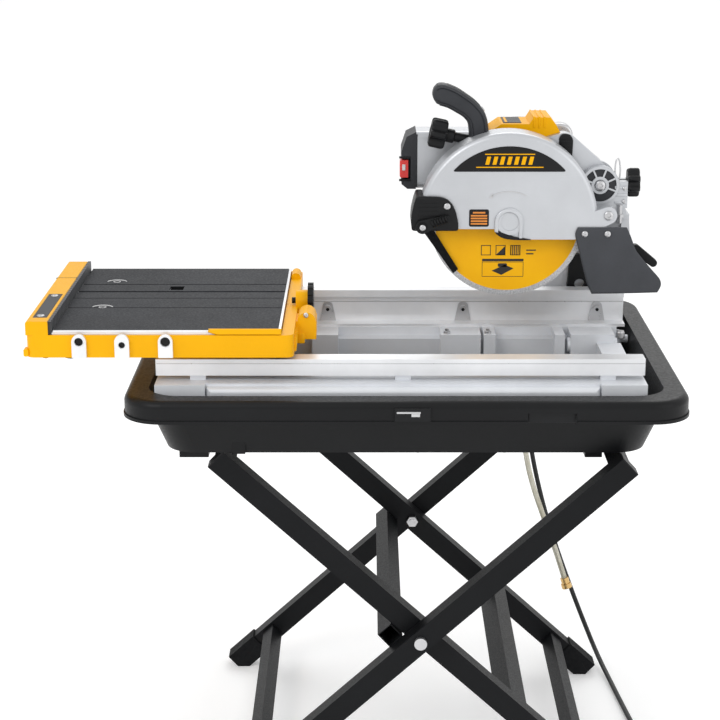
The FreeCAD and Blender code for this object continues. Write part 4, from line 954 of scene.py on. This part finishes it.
def rounded_box(x0, x1, z0, z1, radius, steps=6):
    """An upright rectangle with rounded corners, as (x, z) points."""
    points = []
    for cx, cz, start in ((x1 - radius, z1 - radius, 0), (x0 + radius, z1 - radius, 90),
                          (x0 + radius, z0 + radius, 180), (x1 - radius, z0 + radius, 270)):
        t = np.radians(np.linspace(start, start + 90, steps))
        points.append(np.column_stack([cx + radius * np.cos(t), cz + radius * np.sin(t)]))
    return np.vstack(points)


class SAW_OT_blade(bpy.types.Operator):
    """Generic print on the blade's painted disc"""

    bl_idname = "saw.blade"
    bl_label = "Blade print"

    def execute(self, context):
        x, z = BLADE[0], BLADE[2]
        face = float(corner("saw_blade", 0)[1])
        y0, y1 = face - 0.00035, face + 0.0001
        marks = []
        for k in range(3):
            left = x - 0.042 + 0.024 * k
            marks.append(hollow_box(left, left + 0.016, z - 0.060, z - 0.043, 0.0011, y0, y1))
            if k == 1:
                wedge = [(left, z - 0.060), (left + 0.016, z - 0.060), (left + 0.016, z - 0.044)]
                marks.append(plate("m", wedge, y0, y1))
            if k == 2:
                for j in range(6):
                    bar = box_outline(left + 0.003 * j, left + 0.0015 + 0.003 * j, z - 0.060, z - 0.043)
                    marks.append(plate("m", bar, y0, y1))
        marks.append(plate("m", rounded_box(x - 0.040, x + 0.028, z - 0.070, z - 0.066, 0.0004), y0, y1))
        marks.append(hollow_box(x - 0.040, x + 0.028, z - 0.096, z - 0.071, 0.0007, y0, y1))
        marks.append(plate("m", [(x - 0.024, z - 0.086), (x - 0.008, z - 0.093), (x + 0.012, z - 0.082),
                                 (x - 0.003, z - 0.076)], y0, y1))
        marks.append(plate("m", rounded_box(x - 0.014, x + 0.001, z - 0.0795, z - 0.0735, 0.002), y0, y1))
        for k in range(2):
            marks.append(plate("m", rounded_box(x + 0.032, x + 0.048 - 0.004 * k, z - 0.0525 - 0.006 * k,
                                                z - 0.0505 - 0.006 * k, 0.0004), y0, y1))
        dress_all("blade_print", marks, "print", "blade_group")
        return {"FINISHED"}


def hollow_box(x0, x1, z0, z1, line, y0, y1):
    """A rectangular outline made of four thin bars."""
    bars = [(x0, x1, z0, z0 + line), (x0, x1, z1 - line, z1), (x0, x0 + line, z0, z1),
            (x1 - line, x1, z0, z1)]
    return joined("outline", [plate("bar", box_outline(*bar), y0, y1) for bar in bars])


class SAW_OT_handle(bpy.types.Operator):
    """The lifting handle, the lobed knobs and their shafts"""

    bl_idname = "saw.handle"
    bl_label = "Handle and knobs"

    def execute(self, context):
        low, high = corner("handle", 0), corner("handle", 1)
        across = (low[1] + high[1]) / 2
        half = (high[1] - low[1]) / 2 - 0.0005
        x, z = low[0], high[2]
        bends = np.array([(1.5, -18.5), (8, -18), (17, -18), (32, -23), (46, -31), (62, -42), (73, -56),
                          (77, -74), (77.5, -92), (77.5, -107)]) / 1000
        line = np.column_stack([x + bends[:, 0], np.full(len(bends), across), z + bends[:, 1]])
        spine = open_curve(line, 8)
        spine[:, 2] += 0.003
        run = np.append(0, np.cumsum(np.linalg.norm(np.diff(spine, axis=0), axis=1)))
        nose_length = 0.0165
        nose = np.sqrt(np.clip(1 - (1 - np.clip(run / nose_length, 0, 1)) ** 2, 0.02, 1))
        thick = (0.0190 - 0.0028 * np.clip(run / 0.07, 0, 1)) * nose
        wide = half * (0.55 + 0.45 * nose)
        grip = swept("handle_grip", spine, BACK, thick, wide)
        dress(grip, "grey", "head")
        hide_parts("handle")
        # A raised border round the grip's two faces, and a black strip along its top that paints the shade of
        # the finger recess.
        normal = np.cross(directions(spine), BACK)
        border = []
        for side in (-1, 1):
            for edge in (-1, 1):
                line = spine + normal * (edge * (thick - 0.0052))[:, None]
                line[:, 1] = across + side * (half - 0.0002)
                border.append(wire("border", line[7:-10], 0.0011))
        dress_all("handle_border", border, "grey", "head")
        # Painted shade: a thin black strip on the grip's top stands for the shade inside the finger recess.
        # No hollow is cut.
        over = normal * np.sign(normal[:, 2:3])
        top = (spine + over * (thick - 0.0008)[:, None])[18:44]
        dress(swept("finger_recess_shade", top, BACK, 0.0012, half * 0.5), "black", "head")
        bolt_at = (x + 0.0805, across + 0.006, z - 0.041)
        bolt("handle_bolt", bolt_at, (0.75, 0, 0.66), 0.0062, 0.005, "head")

        tilt = math.radians(12)
        axis = np.array([-math.cos(tilt), 0, math.sin(tilt)])
        root = placed(0.180, 0.350, 1.0556)
        knob = lobed("front_lobed_knob", root + axis * 0.0503, axis, 0.0218, 0.0036, 6, 0.027)
        shaft = turned("shaft", [(0.0079, 0), (0.0079, 0.036), (0.0112, 0.038), (0.0112, 0.053)], root,
                       axis, 36)
        knob = joined("front_lobed_knob", [knob, shaft])
        dress(knob, "black", "front_knob")
        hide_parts("head_knob")

        low, high = corner("plunge_lock_knob", 0), corner("plunge_lock_knob", 1)
        middle = (low + high) / 2
        base = np.array([high[0] - 0.020, middle[1], middle[2]])
        knob = lobed("side_lobed_knob", base, RIGHT, 0.0212, 0.0032, 7, 0.0198)
        stem = turned("stem", [(0.0049, 0), (0.0049, 0.013)], (low[0], middle[1], middle[2]), RIGHT, 24)
        knob = joined("side_lobed_knob", [knob, stem])
        dress(knob, "black", "lock_knob")
        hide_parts("plunge_lock_knob")
        return {"FINISHED"}


class SAW_OT_motor(bpy.types.Operator):
    """Vents, ribs and label on the motor cover, the vent block, the arm's shoulder and the switch's trim"""

    bl_idname = "saw.motor"
    bl_label = "Motor details"

    def execute(self, context):
        x, z = MOTOR[0], MOTOR[2]
        cover_low, cover_high = corner("motor_cover", 0), corner("motor_cover", 1)
        shoulder = z + 0.069
        label = slab("motor_label", (x - 0.036, cover_low[1] + 0.012, shoulder - 0.0004),
                     (x - 0.006, cover_high[1] - 0.006, shoulder + 0.0009), 0.0005)
        dress(label, "label", "head")
        dress(slab("motor_label_bar", (x - 0.033, cover_low[1] + 0.018, shoulder + 0.0006),
                   (x - 0.029, cover_high[1] - 0.012, shoulder + 0.0013), 0.0003), "yellow plastic", "head")
        front = cover_low[1]
        trims = []
        for k in range(3):
            trims.append(slab("rib", (x + 0.012 + 0.0085 * k, front - 0.0012, shoulder - 0.006),
                              (x + 0.0155 + 0.0085 * k, cover_high[1] - 0.002, shoulder + 0.0125), 0.001))
        dress_all("cover_ribs", trims, "yellow plastic", "head")
        slots = []
        for k in range(6):
            level = z - 0.03 + 0.012 * k
            slots.append(slab("slot", (x + 0.052, cover_high[1] + 0.008, level),
                              (x + 0.0625, cover_high[1] + 0.05, level + 0.005), 0.001))
        dress_all("motor_vents", slots, "black", "head")
        end = float(corner("motor_housing", 1)[1])
        fins = [hoop("ring", 0.014 + 0.008 * k, 0.0175 + 0.008 * k, 0.0016, (x, end - 0.0008, z), BACK)
                for k in range(5)]
        dress_all("motor_end_rings", fins, "black", "head")

        block_front = cover_low[1] - 0.016
        shape = np.array([(54, 18), (76, 14), (77, 46), (72, 54), (60, 56), (54, 50)]) / 1000
        block = plate("vent_block", eased(shape, 0.004) + (x, z), block_front, block_front + 0.022)
        louvres = [slab("louvre", (x + 0.057, block_front - 0.0008, z + 0.028 + 0.006 * k),
                        (x + 0.074, block_front + 0.0005, z + 0.0305 + 0.006 * k), 0.0005)
                   for k in range(4)]
        dress(joined("vent_block", [soften(block, 0.002)] + louvres), "black", "head")
        shape = np.array([(46, 34), (48, 60), (60, 64), (76, 60), (84, 48), (82, 32)]) / 1000
        bridge = plate("arm_shoulder", eased(shape, 0.007) + (x, z), cover_low[1] + 0.046,
                       cover_low[1] + 0.076)
        dress(soften(bridge, 0.004), "steel", "head")

        frame_bars = []
        front = corner("switch_box_cap", 0)[1]
        switch_low, switch_high = corner("power_switch", 0), corner("power_switch", 1)
        for z0, z1 in ((switch_low[2] - 0.006, switch_low[2] - 0.0025),
                       (switch_high[2] + 0.003, switch_high[2] + 0.0065)):
            frame_bars.append(slab("bar", (switch_low[0] - 0.001, front - 0.0012, z0),
                                   (switch_high[0] + 0.004, front + 0.004, z1), 0.0006))
        dress_all("switch_surround", frame_bars, "black", "head")
        key = slab("switch_key", (switch_low[0] + 0.004, switch_low[1] - 0.0012, switch_low[2] + 0.012),
                   (switch_low[0] + 0.0095, switch_low[1] + 0.002, switch_low[2] + 0.022), 0.0008)
        dress(key, "pale", "switch")
        box_low, box_high = corner("switch_box", 0), corner("switch_box", 1)
        seam = slab("switch_box_seam", (box_low[0] - 0.0002, box_low[1] - 0.0006, box_low[2] + 0.004),
                    (box_low[0] + 0.0022, box_high[1] + 0.0002, box_high[2] - 0.004), 0.0004)
        dress(seam, "grey", "head")
        return {"FINISHED"}


class SAW_OT_flap(bpy.types.Operator):
    """The bent splash flap"""

    bl_idname = "saw.flap"
    bl_label = "Splash flap"

    def execute(self, context):
        low, high = corner("splash_flap", 0), corner("splash_flap", 1)
        x0, z1 = low[0], high[2]
        width, height = high[0] - low[0], high[2] - low[2]
        # Left and right edges of the flap, from its top to its bottom.
        v = np.linspace(0, 1, 40)
        left = np.interp(v, [0, 0.08, 0.9, 1], [0.0, -0.04, 0.135, 0.18])
        right = np.interp(v, [0, 0.1, 0.36, 0.66, 0.8, 0.9, 1], [0.56, 0.6, 0.68, 0.88, 0.985, 1.0, 0.95])
        for _ in range(6):
            right[1:-1] = (right[:-2] + right[1:-1] * 2 + right[2:]) / 4
            left[1:-1] = (left[:-2] + left[1:-1] * 2 + left[2:]) / 4
        u = np.linspace(0, 1, 30)
        across = left[:, None] + (right - left)[:, None] * u[None]
        bend = 0.008 * (across ** 2) * (0.3 + v[:, None]) + 0.003 * np.sin(np.pi * v)[:, None]
        points = np.stack([x0 + across * width, low[1] + 0.0012 + bend,
                           z1 - v[:, None] * height + 0 * across], -1)
        flap = add_mesh("bent_splash_flap", points.reshape(-1, 3), grid_faces(40, 30), sharp=60)
        dress(thicken(flap, 0.0024), "flap", "head")
        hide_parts("splash_flap")
        return {"FINISHED"}


class SAW_OT_nozzle(bpy.types.Operator):
    """The water nozzle's shell with its ribs, and the ribs and screw on its lever"""

    bl_idname = "saw.nozzle"
    bl_label = "Nozzle shell and ribs"

    def execute(self, context):
        low, high = corner("nozzle_lever", 0), corner("nozzle_lever", 1)
        start = np.array([low[0] + 0.011, low[1] + 0.004, low[2] + 0.011])
        end = np.array([high[0] - 0.005, low[1] + 0.004, high[2] - 0.005])
        ribs = []
        for k in range(6):
            middle = start + (end - start) * (0.42 + 0.11 * k)
            ribs.append(turned("rib", [(0.0062, -0.0012), (0.0068, 0), (0.0062, 0.0012)], middle,
                               end - start, 20))
        dress_all("lever_ribs", ribs, "black", "water_lever")
        bolt("lever_screw", start + (0, -0.004, 0), FORWARD, 0.0052, 0.003, "water_lever")
        x, z = BLADE[0], BLADE[2]
        y0, y1 = GUARD_FRONT - 0.0074, GUARD_FRONT - 0.0002
        outline = np.array([(-156.5, -12.7), (-158.2, 1), (-157, 16), (-153.5, 32), (-149.5, 44.3),
                            (-110, 42.5), (-100, 39), (-91.6, 31.3), (-85.6, 18.3), (-81.6, 1.3),
                            (-81, -12.7)]) / 1000
        shell = plate("nozzle_shell", eased(outline, 0.005) + (x, z), y0, y1)
        wrap_outline = np.array([(-156.5, -12.7), (-158.2, 1), (-157, 16), (-153.5, 32), (-149.5, 44.3),
                                 (-138, 44.3), (-144.5, 16), (-145.4, -12.7)]) / 1000
        wrap = plate("wrap", eased(wrap_outline, 0.003) + (x, z), y0 + 0.004, y1 + 0.055)
        shell = joined("nozzle_shell", [soften(shell, 0.0016), soften(wrap, 0.0012)])
        dress(shell, "black", "head")
        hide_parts("nozzle_housing")
        grooves = []
        for k in range(4):
            level = z + 0.012 + 0.007 * k
            grooves.append(slab("rib", (x - 0.146, y0 - 0.0006, level),
                                (x - 0.113, y0 + 0.0005, level + 0.0022), 0.0005))
        dress_all("nozzle_ribs", grooves, "black", "head")
        return {"FINISHED"}


class SAW_OT_cart(bpy.types.Operator):
    """Edge trims, lip, pocket lining, painted shade discs in the boss holes, deck marks, screws, foot and
    lugs on the sliding cart
    """

    bl_idname = "saw.cart"
    bl_label = "Cart details"

    def execute(self, context):
        low, high = DECK_LOW, DECK_HIGH
        step = low[0] + 0.236
        trim = [
            slab("edge", (low[0], low[1] - 0.0042, high[2] - 0.003),
                 (step, low[1] - 0.0008, high[2] + 0.0004), 0.0005),
            slab("edge", (high[0] + 0.0006, low[1], high[2] - 0.003),
                 (high[0] + 0.0046, high[1], high[2] + 0.0004), 0.0005),
        ]
        dress_all("deck_edges", trim, "rail", "sliding_cart")
        front = float(corner("cart_frame", 0)[1])
        v = np.linspace(0, 1, 9)
        lip_x = np.linspace(step, high[0] + 0.006, 24)
        lean, along = np.meshgrid(v, lip_x, indexing="ij")
        grow = np.clip((along - step) / 0.012, 0, 1)
        lip_y = low[1] - 0.0006 + (front + 0.0004 - low[1]) * lean
        lip_z = high[2] + 0.0012 - (0.0008 + 0.0052 * grow) * lean ** 2
        lip = add_mesh("deck_lip", np.stack([along, lip_y, lip_z], -1).reshape(-1, 3), grid_faces(9, 24))
        dress(thicken(lip, 0.003), "yellow", "sliding_cart")
        pocket_x, pocket_y = placed(-0.3145, 0.3375, 0)[:2]
        lining = slab("pocket_floor", (pocket_x - 0.0113, pocket_y - 0.0123, high[2] - 0.0128),
                      (pocket_x + 0.0113, pocket_y + 0.0123, high[2] - 0.0118), 0.0002)
        dress(lining, "rubber", "sliding_cart")
        walls = [
            slab("wall", (pocket_x - 0.0114, pocket_y + 0.0117, high[2] - 0.0125),
                 (pocket_x + 0.0114, pocket_y + 0.0124, high[2] - 0.0006), 0.0001),
            slab("wall", (pocket_x + 0.0108, pocket_y - 0.0124, high[2] - 0.0125),
                 (pocket_x + 0.0114, pocket_y + 0.0124, high[2] - 0.0006), 0.0001),
        ]
        dress_all("pocket_walls", walls, "rubber", "sliding_cart")
        bosses = corner("skirt_bosses", 0)
        holes, rims = [], []
        # Painted shade: a thin black disc a few millimetres inside each boss's hole makes the shallow hole
        # look dark.
        for dx, radius, drop in ((-0.435, 0.0068, 0.0), (-0.370, 0.0052, 0.005), (-0.304, 0.0078, 0.0)):
            at = (dx + SHIFT[0], bosses[1] + 0.0047, 0.797 - drop)
            holes.append(turned("hole", [(radius, 0), (radius, 0.0006)], at, FORWARD, 32))
            rims.append(hoop("rim", radius, radius + 0.0012, 0.0008, (at[0], bosses[1] + 0.0002, at[2]),
                             FORWARD))
        dress_all("boss_hole_shade", holes, "black", "sliding_cart")
        dress_all("boss_rims", rims, "rail", "sliding_cart")
        for name, y in (("deck_mark_front", 0.33), ("deck_mark_rear", 0.75)):
            middle = np.array([low[0] + 0.055, low[1] + y * (high[1] - low[1]), high[2] + 0.0001])
            t = np.radians(np.linspace(20, 160, 30))
            path = np.column_stack([middle[0] + 0.017 * np.cos(t), middle[1] + 0.017 * np.sin(t),
                                    np.full(30, middle[2])])
            arc = wire("arc", path, 0.0009)
            ring = hoop("ring", 0.005, 0.0062, 0.0007, middle + (0, 0.004, 0), UP, 28)
            dress_all(name, [arc, ring], "pale", "sliding_cart")
        fence_low, fence_high = corner("cart_fence", 0), corner("cart_fence", 1)
        for k, y in enumerate((0.0875, 0.395)):
            base = (fence_low[0] + 0.018, fence_low[1] + y * (fence_high[1] - fence_low[1]), fence_high[2])
            bolt("fence_screw_%d" % k, base, UP, 0.0058, 0.002, "sliding_cart")
        joint = slab("fence_joint", (fence_low[0] - 0.0003, fence_low[1] + 0.29, fence_high[2] - 0.014),
                     (fence_high[0] + 0.0002, fence_low[1] + 0.2912, fence_high[2] + 0.0003), 0.0002)
        dress(joint, "label", "sliding_cart")

        frame_low = corner("cart_frame", 0)
        foot = turned("cart_foot", [(0.011, 0), (0.012, -0.002), (0.0105, -0.0055), (0.006, -0.007)],
                      (frame_low[0] + 0.065, frame_low[1] + 0.018, frame_low[2] + 0.006), UP, 32)
        dress(foot, "rubber", "sliding_cart")
        outline = rounded_box(frame_low[0] - 0.0048, frame_low[0] + 0.003, frame_low[2] + 0.005,
                              frame_low[2] + 0.017, 0.0025)
        lug = plate("cart_lug", outline, frame_low[1] + 0.001, frame_low[1] + 0.016)
        dress(soften(lug, 0.001), "yellow", "sliding_cart")
        right = float(corner("deck_tray", 1)[0])
        ribs = []
        for k in range(5):
            y = frame_low[1] + 0.022 + 0.014 * k
            ribs.append(slab("rib", (right + 0.017, y, frame_low[2] + 0.008),
                             (right + 0.0235, y + 0.003, frame_low[2] + 0.030), 0.0008))
        dress_all("housing_ribs", ribs, "yellow", "sliding_cart")
        lugs = [slab("lug", (right + 0.022, frame_low[1] + 0.090 + 0.022 * k, frame_low[2] + 0.001),
                     (right + 0.034, frame_low[1] + 0.100 + 0.022 * k, frame_low[2] + 0.019), 0.002)
                for k in range(2)]
        dress_all("housing_lugs", lugs, "yellow", "sliding_cart")
        at = (right + 0.036, frame_low[1] + 0.0915, frame_low[2] + 0.047)
        bolt("housing_pin", at, FORWARD, 0.004, 0.003, "sliding_cart")
        return {"FINISHED"}


class SAW_OT_bracket(bpy.types.Operator):
    """Ribs, wire ring, depth stop and screws on the tilting bracket"""

    bl_idname = "saw.bracket"
    bl_label = "Bracket details"

    def execute(self, context):
        px, face, pz = placed(0.384, 0.3435, 0.984)
        rings = [hoop("ring", inner, outer, 0.003, (px, face + 0.0004, pz), FORWARD)
                 for inner, outer in ((0.0095, 0.0145), (0.0268, 0.0315))]
        for k in range(5):
            a = math.radians(-20 + 45 * k)
            direction = np.array([math.cos(a), math.sin(a)])
            side = np.array([-direction[1], direction[0]]) * 0.0014
            near, far = np.array([px, pz]) + direction * 0.0135, np.array([px, pz]) + direction * 0.028
            rings.append(plate("rib", [near - side, far - side, far + side, near + side], face - 0.0022,
                               face + 0.0005))
        dress_all("bracket_ribs", rings, "silver", "tilt_bracket")
        hollow = hoop("bracket_hollow", 0.0144, 0.0269, 0.0006, (px, face + 0.0002, pz), FORWARD)
        dress(hollow, "grey", "tilt_bracket")
        bolt("plunge_bolt_head", (px, face - 0.003, pz), FORWARD, 0.0085, 0.005, "tilt_bracket")

        ring_x, ring_z = 0.4135 + SHIFT[0], 1.008
        t = np.linspace(0, 2 * np.pi, 40)
        path = np.column_stack([ring_x + 0.0042 * np.cos(t), np.full(40, face + 0.010) + 0.002 * np.sin(t),
                                ring_z + 0.0185 * np.sin(t)])
        dress(wire("lock_pin_ring", path, 0.0013), "steel", "tilt_bracket")
        pin = turned("lock_pin", [(0.0035, -0.004), (0.0035, 0.004), (0.0025, 0.006)],
                     (ring_x, face + 0.010, 0.989), UP, 20)
        dress(pin, "steel", "tilt_bracket")
        rod_x, rod_y = 0.4175 + SHIFT[0], face - 0.004
        stops = [turned("rod", [(0.0042, 0), (0.0042, 0.030)], (rod_x, rod_y, 0.922), UP, 24),
                 turned("nut", [(0.0068, 0), (0.0068, 0.005)], (rod_x, rod_y, 0.932), UP, 6)]
        dress_all("depth_stop_screw", stops, "steel", "tilt_bracket")
        clamp_left, clamp_right = 0.4085 + SHIFT[0], 0.4298 + SHIFT[0]
        clamp = []
        for k in range(3):
            level = 0.953 + 0.0125 * k
            clamp.append(slab("rib", (clamp_left, face - 0.0012, level),
                              (clamp_right, face + 0.002, level + 0.005), 0.0008))
        dress_all("clamp_ribs", clamp, "silver", "tilt_bracket")
        for k, rise in enumerate((0.0, 0.022)):
            at = (0.424 + SHIFT[0], face - 0.001, 0.957 + rise)
            bolt("clamp_screw_%d" % k, at, FORWARD, 0.0034, 0.003, "tilt_bracket")
        return {"FINISHED"}


class SAW_OT_base(bpy.types.Operator):
    """Rail caps and grooves, nuts, stud and clip latch on the base, and the panel in the pan's notch"""

    bl_idname = "saw.base"
    bl_label = "Base details"

    def execute(self, context):
        rail_low, rail_high = corner("front_rail", 0), corner("front_rail", 1)
        caps = []
        for x in (rail_low[0] - 0.0006, rail_high[0] - 0.0014):
            caps.append(slab("cap", (x, rail_low[1] + 0.001, rail_low[2] + 0.001),
                             (x + 0.002, rail_high[1] - 0.001, rail_high[2] - 0.001), 0.0006))
        dress_all("front_rail_ends", caps, "black", "saw_base")
        lip = slab("front_rail_groove", (rail_low[0] + 0.001, rail_low[1] - 0.0004, rail_high[2] - 0.0075),
                   (rail_high[0] - 0.001, rail_low[1] + 0.001, rail_high[2] - 0.0063), 0.0003)
        dress(lip, "steel", "saw_base")

        rear_low, rear_high = corner("rear_rail", 0), corner("rear_rail", 1)
        web = rear_low[1] + 0.0255
        line = slab("rear_rail_line", (rear_low[0] + 0.001, web - 0.0003, rear_high[2] - 0.0225),
                    (rear_high[0] - 0.001, web + 0.001, rear_high[2] - 0.021), 0.0003)
        dress(line, "steel", "saw_base")

        beam_high = corner("casting_rear_beam", 1)
        studs = []
        for x in (0.137, 0.206):
            profile = [(0.0065, -0.001), (0.0065, 0.004), (0.0035, 0.0045), (0.0035, 0.008)]
            studs.append(turned("nut", profile, placed(x, 0.368, 0.7262), UP, 6))
        dress_all("post_nuts", studs, "steel", "saw_base")
        # Painted shade: flat black hexagons stand for the dark inside of the bracket bolts' hex sockets. No
        # socket is cut.
        sockets = [turned("socket", [(0.0032, 0), (0.0032, 0.0006)],
                          placed(x, 0.4292, 0.752), FORWARD, 6)
                   for x in (-0.066, 0.167, 0.398)]
        dress_all("bracket_bolt_socket_shade", sockets, "black", "saw_base")
        ridges = [(0.0082 - 0.0006 * (k % 2), 0.002 + 0.0008 * k) for k in range(12)]
        profile = [(0.0072, 0), (0.0082, 0.0012)] + ridges + [(0.0065, 0.013)]
        knurl = turned("knurled_stud", profile, (beam_high[0] - 0.0145, 0.418 + SHIFT[1], 0.704), UP, 36)
        dress(knurl, "steel", "saw_base")

        clip_front = corner("pan_clip", 0)[1]
        latch = [slab("bar", (0.046 + SHIFT[0], clip_front - 0.0012, 0.7015),
                      (0.082 + SHIFT[0], clip_front + 0.001, 0.7045), 0.0006),
                 slab("tab", (0.068 + SHIFT[0], clip_front - 0.0014, 0.6965),
                      (0.081 + SHIFT[0], clip_front + 0.001, 0.7018), 0.0006)]
        dress_all("clip_latch", latch, "steel", "saw_base")
        spout = slab("notch_panel", placed(0.2445, 0.0065, 0.6835), placed(0.3155, 0.0085, 0.6992), 0.001)
        dress(spout, "black", "saw_base")
        return {"FINISHED"}


class SAW_OT_stage(bpy.types.Operator):
    """Floor, soft light and camera"""

    bl_idname = "saw.stage"
    bl_label = "Stage"

    def execute(self, context):
        scene = context.scene
        finish = Finish("pale floor", 0.9, 0.0, 0.2)
        cloud = finish.group("mottling", Scale=0.8).outputs["Mask"]
        finish.colour(finish.mix(cloud, (0.89, 0.89, 0.89), (0.9, 0.9, 0.9)))
        finish.shader.inputs["Emission Color"].default_value = WHITE
        finish.shader.inputs["Emission Strength"].default_value = 0.22
        half, level = 40.0, -0.0005
        corners = [(-half, -half, level), (half, -half, level), (half, half, level), (-half, half, level)]
        floor = add_mesh("floor", corners, [[0, 1, 2, 3]], smooth=False)
        floor.data.materials.append(finish.material)

        world = bpy.data.worlds.new("studio")
        world.use_nodes = True
        world.node_tree.nodes["Background"].inputs["Color"].default_value = WHITE
        world.node_tree.nodes["Background"].inputs["Strength"].default_value = 0.88
        scene.world = world
        for name, place, aim, size, power in (
            ("key_light", (-1.9, -2.6, 3.2), (0, 0, 0.8), 1.8, 34),
            ("fill_light", (2.6, -2.2, 1.9), (0.1, 0, 0.8), 2.4, 14),
            ("back_light", (0.4, 2.4, 3.0), (0, 0, 0.8), 2.0, 25),
        ):
            light = bpy.data.lights.new(name, "AREA")
            light.shape = "SQUARE"
            light.size = size
            light.energy = power
            lamp = bpy.data.objects.new(name, light)
            lamp.location = place
            lamp.rotation_euler = (Vector(aim) - Vector(place)).to_track_quat("-Z", "Y").to_euler()
            scene.collection.objects.link(lamp)

        sizes = scene.saw_sizes
        camera = bpy.data.cameras.new("camera")
        camera.lens = sizes.lens
        camera.sensor_width = 36.0
        camera.shift_x = -1.0 / 120.0
        camera.clip_end = 100.0
        holder = bpy.data.objects.new("camera", camera)
        holder.location = placed(0, -CAMERA_BACK, CAMERA_HEIGHT)
        holder.rotation_euler = (math.pi / 2 - sizes.pitch, 0, 0)
        scene.collection.objects.link(holder)
        scene.camera = holder
        scene.view_settings.view_transform = "Standard"
        return {"FINISHED"}


CLASSES = [
    SawSizes, SawColours, SAW_OT_materials, SAW_OT_stage, SAW_OT_cords, SAW_OT_guard, SAW_OT_blade,
    SAW_OT_handle, SAW_OT_motor, SAW_OT_flap, SAW_OT_nozzle, SAW_OT_cart, SAW_OT_bracket, SAW_OT_base,
]
STEPS = ["materials", "stage", "cords", "guard", "blade", "handle", "motor", "flap", "nozzle", "cart",
         "bracket", "base"]


class SAW_PT_panel(bpy.types.Panel):
    """Lists the saw's operators and its sizes"""

    bl_label = "Tile saw"
    bl_idname = "SAW_PT_panel"
    bl_space_type = "VIEW_3D"
    bl_region_type = "UI"
    bl_category = "Tile saw"

    def draw(self, context):
        for step in STEPS:
            self.layout.operator("saw." + step)
        for group in (context.scene.saw_sizes, context.scene.saw_colours):
            for key in group.__annotations__:
                self.layout.prop(group, key)


def register():
    """Register the classes and hang their settings on the scene."""
    for item in CLASSES + [SAW_PT_panel]:
        bpy.utils.register_class(item)
    bpy.types.Scene.saw_sizes = bpy.props.PointerProperty(type=SawSizes)
    bpy.types.Scene.saw_colours = bpy.props.PointerProperty(type=SawColours)


def unregister():
    """Undo register."""
    del bpy.types.Scene.saw_sizes
    del bpy.types.Scene.saw_colours
    for item in reversed(CLASSES + [SAW_PT_panel]):
        bpy.utils.unregister_class(item)


def main():
    """Build everything in order."""
    register()
    for step in STEPS:
        if getattr(bpy.ops.saw, step)() != {"FINISHED"}:
            raise RuntimeError("step " + step + " did not finish")


if __name__ == "__main__":
    main()
